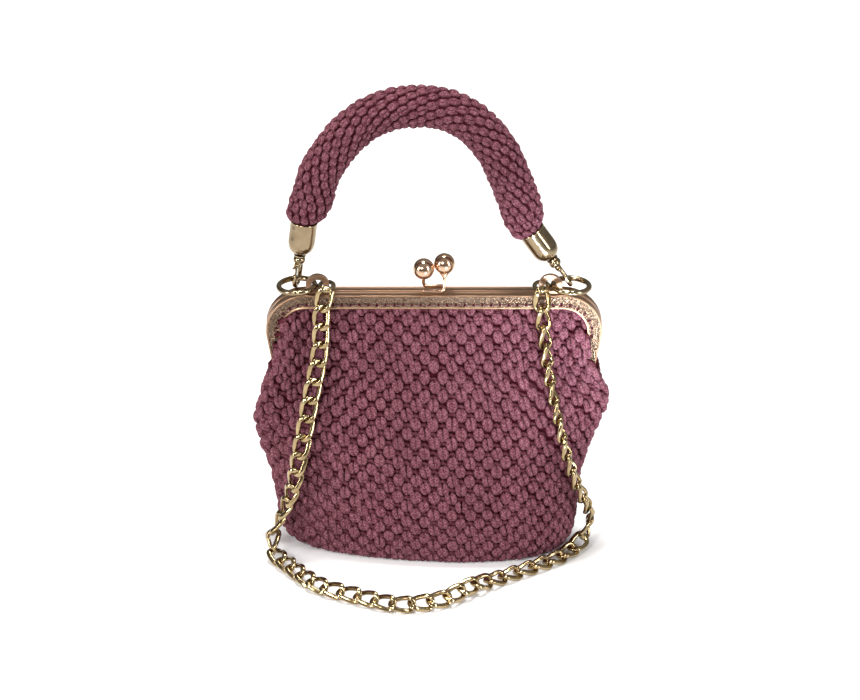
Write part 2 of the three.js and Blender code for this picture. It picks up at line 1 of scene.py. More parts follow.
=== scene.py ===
"""Looks of a crochet evening bag on a kiss-lock frame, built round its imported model.

The crochet is stitched from cord, strand by strand, and the metal pieces are finer copies of their solids.
Shapes are worked out in millimetres in the model's own frame and turned to metres where a mesh is made.
"""

import math

import bmesh
import bpy
import numpy as np
from mathutils import Matrix, Vector


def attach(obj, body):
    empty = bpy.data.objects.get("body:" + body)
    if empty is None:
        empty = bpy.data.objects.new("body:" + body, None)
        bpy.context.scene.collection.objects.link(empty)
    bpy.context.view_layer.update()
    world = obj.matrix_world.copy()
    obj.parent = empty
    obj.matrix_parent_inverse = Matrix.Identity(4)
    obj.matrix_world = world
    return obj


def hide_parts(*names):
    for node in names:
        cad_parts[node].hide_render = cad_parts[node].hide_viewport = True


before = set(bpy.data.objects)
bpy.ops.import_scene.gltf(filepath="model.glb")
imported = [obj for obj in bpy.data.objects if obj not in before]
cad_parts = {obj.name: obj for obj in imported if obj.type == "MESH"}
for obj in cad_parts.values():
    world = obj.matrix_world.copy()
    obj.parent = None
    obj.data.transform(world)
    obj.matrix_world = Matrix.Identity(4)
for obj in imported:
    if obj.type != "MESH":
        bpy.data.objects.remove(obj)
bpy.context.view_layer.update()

bl_info = {
    "name": "Crochet evening bag",
    "version": (1, 0, 0),
    "blender": (4, 5, 0),
    "location": "View3D > Sidebar > Bag",
    "description": "Dresses a packed evening bag with crochet, plated metal and a plain studio",
    "category": "Object",
}

MM = 0.001
SEED = 41

# Kiss-lock frame, in millimetres
FRAME_HALF_WIDTH = 102.5
FRAME_TOP = 166.0
CORNER_RADIUS = 24.0
CORNER_X = FRAME_HALF_WIDTH - CORNER_RADIUS
CORNER_Z = FRAME_TOP - CORNER_RADIUS
LEG_LEAN = math.radians(11)
LEG_END_Z = 114.0
FACE_Y = 7.0
FACE_WALL = 0.9
FACE_HEIGHT = 9.0
INNER_Y = 0.4
INNER_WALL = 1.5
INNER_HEIGHT = 6.0
ROOF = 1.1
ROOF_Y = (FACE_Y + INNER_Y) / 2
EDGE_ROUND = 0.45
HOLE_INSET = 6.15
HOLE_RADIUS = 0.95
HOLE_PITCH = 5.3
HOLE_BEVEL = (0.28, 0.2)
# How far down each hole its disc of painted shade lies
HOLE_DEPTH = 0.55
STRIP_HALF = 1.28
# Thread: the stretch that shows between two holes, as shares of their distance, and how far it stands out
THREAD_RADIUS = 0.34
THREAD_REACH = (0.13, 0.87)
THREAD_ARCH = ((0, -0.8), (0.12, 0.1), (0.3, 0.28), (0.5, 0.32), (0.7, 0.28), (0.88, 0.1), (1, -0.8))
HINGE_Z = 109.5
TAB_RADIUS = 4.2
TAB_THICKNESS = 1.1
TAB_STEP = 1.6
RIVET_RADIUS = 1.6
RIVET_SEAT = 0.85
# Rivet's head: radius and height
RIVET_HEAD = ((0, 1.15), (1.2, 1.05), (2.2, 0.7), (2.7, 0.1), (2.6, 0))
LUG_X = 71.0
LUG_HOLE_Z = 172.0
LUG_HOLE_RADIUS = 3.6
LUG_RADIUS = 7.2
LUG_HALF = 1.3
# The frame's finishes, and the painted shade down its holes, by place in its list of materials
GRAINED, SMOOTH, SATIN, PAINTED_SHADE = range(4)

# Clasp knobs
KNOB_RADIUS = 6.6
KNOB_HEIGHTS = {"front": 17.2, "back": 16.0}
KNOB_X = 6.3
KNOB_Y = 2.4
KNOB_STEM = 1.15
KNOB_LIFT = 0.5
# Collar under the ball: radius and height from the ball's middle
KNOB_COLLAR = ((0, -8.2), (1.5, -8.2), (2.0, -7.4), (2.1, -6.9), (2.9, -6.5), (3.0, -5.6), (0, -5.4))

# Crochet body: rows of sections as height, half-width to the left and right, half-depth, roundness and turn
BODY_ROWS = np.array([
    (0, 85, 76, 35, 2.25, -6),
    (3, 90, 80.5, 38.5, 2.25, -6),
    (11, 94, 85, 41, 2.3, -6),
    (30, 96.5, 87.5, 41.5, 2.35, -5.5),
    (48, 100.5, 89.4, 40, 2.35, -5),
    (64, 106, 94, 37.5, 2.3, -4),
    (81, 109.5, 100.5, 34, 2.15, -3),
    (95, 105, 105.5, 30, 2, -2),
    (108, 101, 101, 25.5, 1.8, -1),
])
# Inside the frame's legs: height, half-depth and roundness; the width follows the legs
NECK_ROWS = np.array([
    (119, 20.5, 1.65),
    (131, 16.5, 1.65),
    (143, 13, 1.75),
    (152, 9.4, 2.1),
    (158, 6, 3),
    (164.4, 5.7, 4),
])
NECK_INSET = 1.45
BODY_TOP = 164.0
BASE_INSET = 33.0

# Strands of one body stitch: cord radius, then points along the row, up and outward from the stitch's middle
BODY_STITCH = (
    (1.88, ((-0.5, 3.8, -1.0), (-1.3, 2.5, 0.3), (-1.65, 0.4, 0.95), (-1.4, -1.9, 0.6), (-0.4, -4.3, -1.0))),
    (1.88, ((0.6, 3.8, -1.0), (1.4, 2.4, 0.3), (1.7, 0.2, 0.95), (1.35, -2.0, 0.6), (0.5, -4.3, -1.0))),
    (1.5, ((-5.2, 3.2, -1.7), (-2.7, 5.4, -1.1), (0.0, 5.7, -0.8), (2.7, 4.0, -0.8), (5.0, 0.8, -1.6))),
)
BODY_LEAN = 0.2
# Strands of one handle stitch, in the same way
HANDLE_STITCH = (
    (1.42, ((-0.3, 2.6, -0.9), (-0.95, 1.5, 0.3), (-1.15, -0.1, 0.75), (-0.9, -1.5, 0.4), (-0.3, -3.1, -0.9))),
    (1.42, ((0.4, 2.6, -0.9), (1.0, 1.4, 0.3), (1.2, -0.2, 0.75), (0.9, -1.6, 0.4), (0.4, -3.1, -0.9))),
    (1.05, ((-3.2, 0.9, -1.2), (-1.6, 2.5, -0.3), (0.4, 3.0, -0.1), (2.2, 2.1, -0.4), (3.3, 0.6, -1.2))),
)
STRAND_LIFT = -1.45
STRAND_TAPER = (0.3, 0.82, 1.0, 1.0, 1.0, 0.86, 0.35)
# How much hand work varies: the strands' points and thickness, and the stitches' turn, place and size
STRAND_WOBBLE = (0.2, 0.2, 0.12)
STRAND_VARIES = 0.035
STITCH_TURNS = 0.07
PLACE_VARIES = (0.0006, 0.18)
SIZE_VARIES = 0.025
# Painted shade: cord takes the hollow colour this far down and its full colour this much higher
CROWN_DEPTH = 1.15
CROWN_RISE = 3.3
CORD_PLAIT = 1.5
THREAD_PLAIT = 0.8
# The inner layer behind the stitches, coloured as painted shade
BACKING_DEPTH = 2.5
BACKING_FLOOR = 2.4
BACKING_CROWN = 0.3
BACKING_GAP = 0.3
BACKING_ROOM = 3.0
BACKING_TOP_Z = 160.0
STITCH_WIDTH = 11.0
STITCH_HEIGHT = 5.75
STITCHES_ROUND = 40
# Stitches of each quarter that take up the change of girth, beside the bag's edges
SIDE_STITCHES = 4
# The top row's height; where the rows and the stitches of the base begin; its middle, with none
TOP_ROW_Z = 157.0
LAST_SIDE_ROW = 2.0
BASE_EDGE = 1.0
BASE_HOLE = 3.0
# Height on the bag and the distance between rows there
ROW_HEIGHTS = ((0, 5.2), (22, 5.2), (50, 5.5), (92, 6.1), (130, 5.9))
# Height on the frame's legs and how much of their face shows beside the crochet that bulges over them
LEG_SHOWS = (
    ((110, -30), (118, -4), (125, 1), (133, 3.7), (141, 6.4), (149, 8.6)),
    ((110, -30), (117, -4), (121.5, 0.8), (129, 4.2), (136, 6.8), (142, 8.6)),
)
LEG_COVER_TOPS = (150.0, 143.0)
LEG_COVER_Y = 10.4
# Where that bulge fades in and out: by inset from the frame's edge, by height and by height over its top
LEG_COVER_INSETS = (27, 15)
LEG_COVER_RISE = (97, 105)
LEG_COVER_FADE = (7, -3)
LEG_COVER_EASE = 4
# How far the crochet spreads round the outside of the hinges
LEG_WRAP = 1.6
LEG_WRAP_INSETS = (9, 0)
LEG_WRAP_RISE = (90, 98)
LEG_WRAP_FADE = (126, 118)
# Stitches are left out where the metal shows: beside the slits, on the legs and under the rim
SLIT_ROOM = 3.0
LEG_ROOM = 2.0
LEG_BARE_Z = 110.0
RIM_ROOM = 6.5
# Cord under the rim stays behind the face, and cord over a leg stays in front of it
TUCK_Y = 4.6
TUCK_SLOPE = 1.6
TUCK_INSETS = (9.4, 12.0)
AHEAD_INSET = 9.6
AHEAD_GAP = 0.3
AHEAD_SHARE = 0.85
AHEAD_HINGE_Z = 104.0
FLOOR_GAP = 0.1
# Stitches added along the legs: heights, inset from what shows, size, and by height the gap that needs one
EDGE_STITCH_FROM = 106.0
EDGE_STITCH_STEP = 2.5
EDGE_STITCH_INSET = 2.4
EDGE_STITCH_SCALE = (0.85, 1.0)
EDGE_STITCH_GAPS = ((118, 3.2), (124, 5.6))
# The open slit beside each hinge, where the front and back part
SLIT_HALF = 2.0
SLIT_BOTTOM = 112.0
# Under the slit the crochet closes round the outside of the hinge
HINGE_WRAP_X = (101.0, 96.5)
SLIT_DEEP_X = 86.0

# Handle: centre line between the caps, in the plane y = HANDLE_Y
HANDLE_Y = 7.2
HANDLE_ARCH = (
    (-74.4, 224), (-69.8, 241), (-61, 256.5), (-52, 268), (-39, 278.5), (-23.8, 284.6), (-8, 286),
    (7.5, 283.8), (22, 276), (31, 267), (39, 255.5), (45.5, 240.5), (51.5, 224),
)
# Radius by distance from the tip inside the cap
HANDLE_END = ((0, 6.5), (12.2, 6.5), (12.7, 9.4), (17.2, 11.9), (25, 13))
PLUG_DEPTH = 12.0
HANDLE_LEAD = 6.0
HANDLE_ROUND = 12
HANDLE_ROW = 5.6
HANDLE_DRIFT = -0.47
HANDLE_LEAN = 0.35
HANDLE_LIFT = -1.75
HANDLE_STITCH_WIDTH = 6.6
# First and last round, from the caps' mouths
HANDLE_ROUNDS = (4.1, 3.6)
HANDLE_SIZE_VARIES = 0.03
HANDLE_PLACE_VARIES = 0.15
# The handle's core under the stitches: its sink, its low crown that paints it in the hollows' shade, and its
# sides
CORE_SINK = 2.3
CORE_CROWN = 0.25
CORE_SIDES = 40

# Hooks: the bar that each hangs on, its lean and its turn about its own post
HOOKS = {
    "left": {"bar": (-83.5827, 7.3, 171.3406), "lean": 6.8, "turn": 72},
    "right": {"bar": (80.7396, 6.9252, 171.4896), "lean": -34, "turn": 101},
}
# Each cap stands this far up the post; its section as radius and height, up the outside and down the inside
CAP_SEAT = 16.6
CAP_HEIGHT = 22.0
CAP_SECTION = (
    (1.9, 0), (3.0, 0.15), (4.15, 0.5), (5.5, 1.35), (6.64, 2.6), (7.45, 4.1), (7.97, 5.8), (8.22, 7.4),
    (8.3, 9), (8.3, 20.6), (8.42, 21.0), (8.42, 21.7), (8.2, CAP_HEIGHT), (7.5, CAP_HEIGHT),
    (7.4, 21.6), (7.4, 9), (6.31, 6), (3.98, 3.6), (1.9, 3), (1.9, 0),
)
SCREW_HEIGHTS = (19.0, 11.6)
SCREW_TURN = 47
SCREW_SECTION = ((0, 8.05), (0.55, 8.05), (0.62, 8.34), (0.95, 8.34), (1.05, 8.1))
# Rings: the middle's distance from the lug's hole, the wire and the seam where its ends meet
RING_RADIUS = 11.0
RING_OFFSET = 12.6
RING_TILT = 3
RING_WIRE = 1.75
RING_STEPS = 96
RING_GATHER = 0.035
# Depth and half-width of the seam, the width as an angle
RING_SEAM = (0.35, 0.03)
# Hooks, up their own post: the bend's radius and middle, the wire, the post's section and the gate's axle
HOOK_RADIUS = 4.7
HOOK_BEND_Z = 0.2
HOOK_NECK = ((0, 0, 11.6), (3.525, 0, 9.6), (HOOK_RADIUS, 0, 6.6))
HOOK_NOSE = (-HOOK_RADIUS, 0, 2.9)
HOOK_WIRE = 1.5
HOOK_BALL = (3.8, 3.3)
HOOK_BALL_Z = 12.6
HOOK_POST = (
    (0, 12.6), (1.5, 12.6), (1.5, 15), (3.7, 15), (3.7, 16), (1.5, 16), (1.5, 20.5), (3.2, 20.5),
    (3.2, 21.7), (0, 21.7),
)
EAR_OUTLINE = ((-1.7, -2.3), (1.7, -2.3), (1.7, 2.3), (-0.6, 2.3), (-1.7, 1.2))
EAR_PLACE = (-2.6, 1.4, 10.7)
EAR_THICKNESS = 0.8
AXLE_PLACE = (-3.4, 0, 9.8)
PIN_SECTION = ((0, -2.0), (0.7, -2.0), (0.7, 2.0), (0, 2.0))
GATE_BAR = ((-4.7, 0, 3.6), (-3.5, 0, 8.9))
GATE_RADII = (0.3, 0.85, *[1.05] * 9, 0.9)
GATE_EYE = ((1.05, -0.7), (1.8, -0.7), (1.8, 0.7), (1.05, 0.7), (1.05, -0.7))
LEVER_PATH = ((-10.4, 0, 10.5), (-9.0, 0, 10.3), (-7.0, 0, 10.15), (-5.0, 0, 10.2), (-4.4, 0, 10.25))
# Lever's radius by share of its length from the tip
LEVER_RADII = ((0, 0.2), (0.06, 1.0), (0.18, 1.25), (0.4, 0.8), (1, 0.7))

# Chain: the route from lug to lug, as place and the way that the links' flat side faces
CHAIN_ROUTE = np.array([
    (-65.4, -6, 172, 0, 0, 1),
    (-65.6, -12, 172, 0, -0.5, 0.85),
    (-68.2, -15, 161, 0, -1, 0.1),
    (-69.5, -18, 134, 0, -1, 0.1),
    (-75.4, -25, 104, -0.15, -1, 0.1),
    (-81.4, -31.5, 73.5, -0.3, -0.95, 0.1),
    (-87.2, -29, 44, -0.75, -0.65, 0),
    (-93, -24, 27, -1, -0.2, 0),
    (-98, -25, 14, -0.9, 0, 0.4),
    (-97, -35, 6, -0.4, -0.2, 0.9),
    (-88, -52, 5.2, -0.3, -0.5, 0.8),
    (-70, -79, 5.2, -0.2, -0.6, 0.78),
    (-45, -95, 5.2, 0, -0.62, 0.78),
    (-20, -106, 5.2, 0, -0.62, 0.78),
    (6, -99, 5.6, 0.1, -0.7, 0.7),
    (22, -85, 7, 0.75, -0.2, 0.6),
    (40, -67, 4, 0.1, -0.3, 0.95),
    (60, -51, 3.6, 0, -0.2, 1),
    (80, -33, 3.8, 0.1, -0.2, 1),
    (91.5, -17, 8, 0.6, 0, 0.8),
    (95.5, -13.5, 20, 1, 0.1, 0.1),
    (92.5, -23, 35, 1, 0, 0),
    (86.5, -30, 52, 1, -0.1, 0),
    (80.5, -34.5, 74, 1, -0.1, 0),
    (75, -30.5, 98, 1, -0.1, 0),
    (70, -21.5, 122, 0.9, -0.3, 0),
    (67.5, -17, 144, 0.85, -0.5, 0),
    (66, -15, 161, 0.55, -0.8, 0.1),
    (65.4, -12, 172, 0, -0.5, 0.85),
    (65.4, -6, 172, 0, 0, 1),
])
LINK_WIRE = 1.2
LINK_PITCH = 11.8
LINK_WIDTH = 10.6
LINK_TWIST = 1.8
LINK_OVERLAP = 0.1
LINK_SQUARENESS = 0.8
LINK_FACET = 0.45
LINK_LOWEST = 1.6
# The wire's section: half-width, flatness and squareness
LINK_SECTION = (LINK_WIRE * 1.28, 0.74, 3.4)

# Lights: name, place, aim, size, power, spread in degrees and tint
LIGHTS = (
    ("overhead_softbox", (-0.1, 0.3, 2.0), (-0.1, 0.3, 0), (0.55, 0.75), 7.6, 75, (1.0, 0.985, 0.97)),
    ("front_softbox", (-0.75, -1.9, 1.35), (0, 0, 0.14), (0.6, 0.4), 3.2, 60, (1.0, 0.98, 0.96)),
    ("right_strip", (1.25, -1.0, 0.7), (0, 0, 0.17), (0.16, 1.0), 4.8, 90, (0.97, 0.98, 1.0)),
    ("left_strip", (-1.3, -0.8, 0.6), (0, 0, 0.15), (0.14, 0.8), 3.6, 90, (1.0, 0.98, 0.96)),
    ("low_right_strip", (0.165, -0.29, 0.034), (0.125, 0, 0.16), (0.15, 0.05), 0.21, 36, (0.8, 0.92, 1.0)),
)
FLOOR_REACH = 25.0
FLOOR_LINES = 21
# How far the surround's brightest side leans from straight up to the right
SURROUND_LEAN = 0.45
SENSOR_WIDTH = 36.0

# The photograph's frame: pixels, pixels to a millimetre, and where the top of the frame lies in it
PHOTO_WIDTH, PHOTO_HEIGHT = 860, 700
PHOTO_SCALE = 1.64
PHOTO_ANCHOR = (434, 291)
CAMERA_ELEVATION = math.radians(25)


# Curves and surfaces

def unit(vectors):
    return vectors / np.maximum(np.linalg.norm(vectors, axis=-1, keepdims=True), 1e-9)


def spline(points, per_segment=24):
    """Samples of the centripetal Catmull-Rom curve through rows whose first three columns are a place."""
    rows = np.asarray(points, float)
    rows = np.vstack([2 * rows[0] - rows[1], rows, 2 * rows[-1] - rows[-2]])
    steps = np.sqrt(np.maximum(np.linalg.norm(np.diff(rows[:, :3], axis=0), axis=1), 1e-6))
    share = np.linspace(0, 1, per_segment, endpoint=False)[:, None]
    out = []
    for i in range(1, len(rows) - 2):
        before, first, second, after = rows[i - 1:i + 3]
        d0, d1, d2 = steps[i - 1:i + 2]
        m1 = d1 * ((first - before) / d0 - (second - before) / (d0 + d1) + (second - first) / d1)
        m2 = d1 * ((second - first) / d1 - (after - first) / (d1 + d2) + (after - second) / d2)
        c2 = 3 * (second - first) - 2 * m1 - m2
        c3 = 2 * (first - second) + m1 + m2
        out.append(first + m1 * share + c2 * share ** 2 + c3 * share ** 3)
    return np.vstack([*out, rows[-2:-1]])


def lengths_along(path):
    return np.concatenate([[0], np.cumsum(np.linalg.norm(np.diff(path[:, :3], axis=0), axis=1))])


def even(path, count):
    """The same path with count places at even distances."""
    run = lengths_along(path)
    at = np.linspace(0, run[-1], count)
    return np.stack([np.interp(at, run, column) for column in path.T], axis=1)


def read_off(rows, at):
    """The second column of a short table, at places along its first."""
    return np.interp(at, *np.array(rows, float).T)


def smooth_rows(rows, at):
    """Columns of rows eased between their heights without overshoot, at the heights given."""
    x, y = rows[:, 0], rows[:, 1:]
    step = np.diff(x)[:, None]
    slope = np.diff(y, axis=0) / step
    tangent = np.zeros_like(y)
    product = slope[:-1] * slope[1:]
    mean = np.where(np.abs(slope[:-1] + slope[1:]) < 1e-9, 1, slope[:-1] + slope[1:])
    tangent[1:-1] = np.where(product > 0, 2 * product / mean, 0)
    tangent[0], tangent[-1] = slope[0], slope[-1]
    i = np.clip(np.searchsorted(x, at) - 1, 0, len(x) - 2)
    h = step[i]
    t = ((at - x[i])[:, None]) / h
    return (
        y[i] * (1 + 2 * t) * (1 - t) ** 2
        + tangent[i] * h * t * (1 - t) ** 2
        + y[i + 1] * t ** 2 * (3 - 2 * t)
        + tangent[i + 1] * h * t ** 2 * (t - 1)
    )


def eased(value, start, end):
    """0 before start, 1 after end, smooth between."""
    t = np.clip((value - start) / (end - start), 0, 1)
    return t * t * (3 - 2 * t)


def leg_half_width(z, inset):
    """Half-width of a line that runs inside the frame's outer edge, at a height on its corner or leg."""
    radius = CORNER_RADIUS - inset
    arc_end = CORNER_Z - radius * math.sin(LEG_LEAN)
    if z >= arc_end:
        return CORNER_X + math.sqrt(max(0.0, radius ** 2 - (z - CORNER_Z) ** 2))
    return CORNER_X + radius * math.cos(LEG_LEAN) - (arc_end - z) * math.tan(LEG_LEAN)


def leg_shows(x, z):
    """How much of the leg's face the crochet leaves bare at a height, on the left and on the right."""
    left, right = (read_off(side, z) for side in LEG_SHOWS)
    return np.where(np.asarray(x) < 0, left, right)


def leg_cover_top(x):
    """The height up to which the crochet covers the leg; over it, the crochet is tucked behind the rim."""
    return np.where(np.asarray(x) < 0, *LEG_COVER_TOPS)


def inset_from_frame_edge(x, z):
    """How far a point of the front lies inside the frame's outer edge."""
    x = np.abs(x)
    corner = CORNER_RADIUS - np.hypot(x - CORNER_X, z - CORNER_Z)
    on_leg = z < CORNER_Z - (x - CORNER_X) * math.tan(LEG_LEAN)
    out = (x - CORNER_X) * math.cos(LEG_LEAN) - (z - CORNER_Z) * math.sin(LEG_LEAN)
    inset = np.where(on_leg, CORNER_RADIUS - out, corner)
    return np.where((x < CORNER_X) & (z > CORNER_Z), FRAME_TOP - z, inset)


class BodySurface:
    """The bag's outside as a grid: f goes round from the left edge by the front, v up from the base's edge.

    The middles of the front and the back lie at quarters, so that columns of stitches run straight up.
    """

    quarter = 100
    columns = 4 * quarter
    half_samples = 1200
    base_rows = 24
    side_rows = 190
    # Rows of the base that face straight down, before and after the turn into the sides is softened
    flat_rows = (14, 10)

    def __init__(self):
        neck = [(z, *[leg_half_width(z, NECK_INSET)] * 2, depth, n, 0) for z, depth, n in NECK_ROWS]
        table = np.vstack([BODY_ROWS, neck])
        heights = np.concatenate([np.zeros(self.base_rows), np.linspace(0, BODY_TOP, self.side_rows)])
        base_insets = np.linspace(BASE_INSET, 0, self.base_rows, endpoint=False)
        insets = np.concatenate([base_insets, np.zeros(self.side_rows)])
        rows = smooth_rows(table, heights)
        rings = [self.ring(row, z, inset) for row, z, inset in zip(rows, heights, insets)]
        self.grid = np.array([ring for ring, _ in rings])
        self.quarters = np.array([lengths for _, lengths in rings])
        rise = np.linalg.norm(np.diff(self.grid, axis=0), axis=2).mean(axis=1)
        self.v = np.concatenate([[0], np.cumsum(rise)])
        self.v -= self.v[self.base_rows]
        up = np.gradient(self.grid, axis=0)
        along = np.roll(self.grid, -1, axis=1) - np.roll(self.grid, 1, axis=1)
        self.normals = unit(np.cross(along, up))
        self.normals[:self.flat_rows[0]] = (0, 0, -1)
        below, above = np.roll(self.normals, 1, 0), np.roll(self.normals, -1, 0)
        self.normals = unit(self.normals + below * 0.5 + above * 0.5)
        self.normals[:self.flat_rows[1]] = (0, 0, -1)
        self.normals[-1] = self.normals[-2]

    def ring(self, row, z, inset):
        """One section's points, even along each quarter, and the quarters' lengths."""
        left, right, depth, roundness, turn = row
        half = self.half_samples
        angle = np.linspace(math.pi, 3 * math.pi, 2 * half + 1)
        cos, sin = np.cos(angle), np.sin(angle)
        x = (np.where(cos < 0, left, right) - inset) * np.sign(cos) * np.abs(cos) ** (2 / roundness)
        y = max(depth - inset, 1.0) * np.sign(sin) * np.abs(sin) ** (2 / roundness)
        c, s = math.cos(math.radians(turn)), math.sin(math.radians(turn))
        points = np.stack([x * c - y * s, x * s + y * c, np.full_like(x, z)], 1)
        run = lengths_along(points)
        front = np.interp(0, points[:half, 0], run[:half])
        back = np.interp(0, points[:half:-1, 0], run[:half:-1])
        marks = (0, front, run[half], back, run[-1])
        at = np.concatenate([
            np.linspace(a, b, self.quarter, endpoint=False) for a, b in zip(marks[:-1], marks[1:])
        ])
        return np.stack([np.interp(at, run, column) for column in points.T], 1), np.diff(marks)

    def look_up(self, table, f, v):
        column = np.mod(f, 1) * self.columns
        left = np.floor(column).astype(int)
        across = (column - left)[..., None]
        row = np.interp(v, self.v, np.arange(len(self.v)))
        low = np.clip(np.floor(row).astype(int), 0, len(self.v) - 2)
        up = (row - low)[..., None]
        left, right = left % self.columns, (left + 1) % self.columns
        lower = table[low, left] * (1 - across) + table[low, right] * across
        upper = table[low + 1, left] * (1 - across) + table[low + 1, right] * across
        return lower * (1 - up) + upper * up

    def at(self, f, v):
        """Places and outward directions."""
        return self.over_legs(self.look_up(self.grid, f, v), unit(self.look_up(self.normals, f, v)))

    def over_legs(self, places, normals):
        """Brings the crochet out in front of the frame's legs and hinges, as far up as it covers them."""
        x, y, z = np.moveaxis(places, -1, 0)
        inset = inset_from_frame_edge(x, z)
        above = z - leg_cover_top(x)
        near = eased(inset, *LEG_COVER_INSETS) * eased(z, *LEG_COVER_RISE) * eased(above, *LEG_COVER_FADE)
        target = LEG_COVER_Y * near * (inset > leg_shows(x, z))
        target = target * np.where(z < SLIT_BOTTOM, eased(np.abs(x), *HINGE_WRAP_X), 1)
        push = np.maximum(0, target - np.abs(y))
        side = np.where(y < 0, -1.0, 1.0)
        facing = np.stack([np.zeros_like(y), side, np.zeros_like(y)], -1)
        share = np.clip(push / LEG_COVER_EASE, 0, 1)[..., None]
        outward = np.stack([np.sign(x), np.zeros_like(y), np.zeros_like(y)], -1)
        wrap = LEG_WRAP * eased(inset, *LEG_WRAP_INSETS) * eased(z, *LEG_WRAP_RISE) * eased(z, *LEG_WRAP_FADE)
        brought = places + facing * push[..., None] + outward * wrap[..., None]
        return brought, unit(normals * (1 - share) + facing * share)

    def lean(self, f, v):
        """How far the columns lean along the rows, as an angle."""
        step = 1.0
        up = self.look_up(self.grid, f, v + step) - self.look_up(self.grid, f, v - step)
        along = unit(self.look_up(self.grid, f + 0.004, v) - self.look_up(self.grid, f - 0.004, v))
        aside = np.sum(up * along, axis=-1)
        rise = np.linalg.norm(up - along * aside[..., None], axis=-1)
        return np.arctan2(aside, rise)

    def around(self, f, v):
        """What a whole round would measure at the pace of this quarter."""
        number = np.broadcast_to(np.floor(np.mod(f, 1) * 4).astype(int), np.shape(v))
        return 4 * np.choose(number, [np.interp(v, self.v, column) for column in self.quarters.T])

    def keep_side(self, across, f, v):
        """Holds strands on their own side of the slits beside the hinges."""
        half = np.floor(2 * f) / 2
        held = np.clip(across, half + 0.003, half + 0.497)
        return np.where(v > self.height_to_v(SLIT_BOTTOM), held, across)

    def height_to_v(self, z):
        return float(np.interp(z, self.grid[self.base_rows:, 0, 2], self.v[self.base_rows:]))


class HandleSurface:
    """The handle's outside: s runs along it from its left end, f round it from the inner side of the arch."""

    samples = 600

    def __init__(self):
        mouths, ups = [], []
        for side in ("left", "right"):
            lean = math.radians(HOOKS[side]["lean"])
            ups.append(np.array((math.sin(lean), 0, math.cos(lean))))
            mouths.append(np.array(HOOKS[side]["bar"]) + ups[-1] * (CAP_SEAT + CAP_HEIGHT))
        arch = [np.array((x, HANDLE_Y, z)) for x, z in HANDLE_ARCH]
        path = spline([
            mouths[0] - ups[0] * PLUG_DEPTH, mouths[0], mouths[0] + ups[0] * HANDLE_LEAD, *arch,
            mouths[1] + ups[1] * HANDLE_LEAD, mouths[1], mouths[1] - ups[1] * PLUG_DEPTH,
        ])
        self.path = even(path, self.samples)
        self.length = lengths_along(path)[-1]
        self.run = np.linspace(0, self.length, self.samples)
        self.along = unit(np.gradient(self.path, axis=0))
        self.across = np.array((0.0, 1.0, 0.0))
        self.out = unit(np.cross(self.across, self.along))

    def radius(self, s):
        return read_off(HANDLE_END, np.minimum(s, self.length - s))

    def column(self, table, s):
        return np.stack([np.interp(s, self.run, c) for c in table.T], axis=-1)

    def at(self, f, s):
        angle = 2 * math.pi * f[..., None]
        out = unit(self.column(self.out, s)) * np.cos(angle) + self.across * np.sin(angle)
        return self.column(self.path, s) + out * self.radius(s)[..., None], out

    def keep_side(self, across, f, s):
        return across

    def around(self, f, s):
        return 2 * math.pi * self.radius(s)


# Meshes from arrays

class Build:
    """Gathers points, faces, cord coordinates, crowns and materials of one piece."""

    def __init__(self):
        self.points, self.faces, self.uvs, self.crowns, self.slots = [], [], [], [], []
        self.count = 0

    def add(self, points, faces, uvs=None, crowns=None, slot=0):
        """points in millimetres, faces as rows of point numbers, uvs a pair for each corner of each face."""
        points = np.asarray(points, float).reshape(-1, 3)
        faces = [np.asarray(f) + self.count for f in faces]
        self.points.append(points)
        self.faces.extend(faces)
        corners = sum(len(f) for f in faces)
        self.uvs.append(np.zeros((corners, 2)) if uvs is None else np.asarray(uvs, float).reshape(-1, 2))
        self.crowns.append(np.ones(len(points)) if crowns is None else np.asarray(crowns, float).ravel())
        self.slots.append(np.broadcast_to(slot, len(faces)))
        self.count += len(points)
        return self

    def mesh(self, name, materials, weld=False, sharp=None):
        points = np.concatenate(self.points) * MM
        sizes = np.array([len(f) for f in self.faces])
        mesh = bpy.data.meshes.new(name)
        mesh.vertices.add(len(points))
        mesh.vertices.foreach_set("co", points.astype(np.float32).ravel())
        mesh.loops.add(int(sizes.sum()))
        mesh.loops.foreach_set("vertex_index", np.concatenate(self.faces).astype(np.int32))
        mesh.polygons.add(len(sizes))
        mesh.polygons.foreach_set("loop_start", np.concatenate([[0], np.cumsum(sizes)[:-1]]).astype(np.int32))
        mesh.polygons.foreach_set("material_index", np.concatenate(self.slots).astype(np.int32))
        uv = mesh.uv_layers.new(name="cord")
        uv.data.foreach_set("uv", np.concatenate(self.uvs).astype(np.float32).ravel())
        crown = mesh.attributes.new("crown", "FLOAT", "POINT")
        crown.data.foreach_set("value", np.concatenate(self.crowns).astype(np.float32))
        mesh.update(calc_edges=True)
        mesh.validate()
        if weld:
            work = bmesh.new()
            work.from_mesh(mesh)
            bmesh.ops.remove_doubles(work, verts=work.verts, dist=2e-6)
            bmesh.ops.recalc_face_normals(work, faces=work.faces)
            work.to_mesh(mesh)
            work.free()
        mesh.shade_smooth()
        if sharp is not None:
            mesh.set_sharp_from_angle(angle=math.radians(sharp))
        for material in materials:
            mesh.materials.append(material)
        return mesh

    def piece(self, name, materials, body, nodes=(), slot=None, weld=False, sharp=None):
        made = bpy.data.objects.new(name, self.mesh(name, materials, weld, sharp))
        bpy.context.scene.collection.objects.link(made)
        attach(made, body)
        if nodes:
            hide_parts(*nodes)
        return made


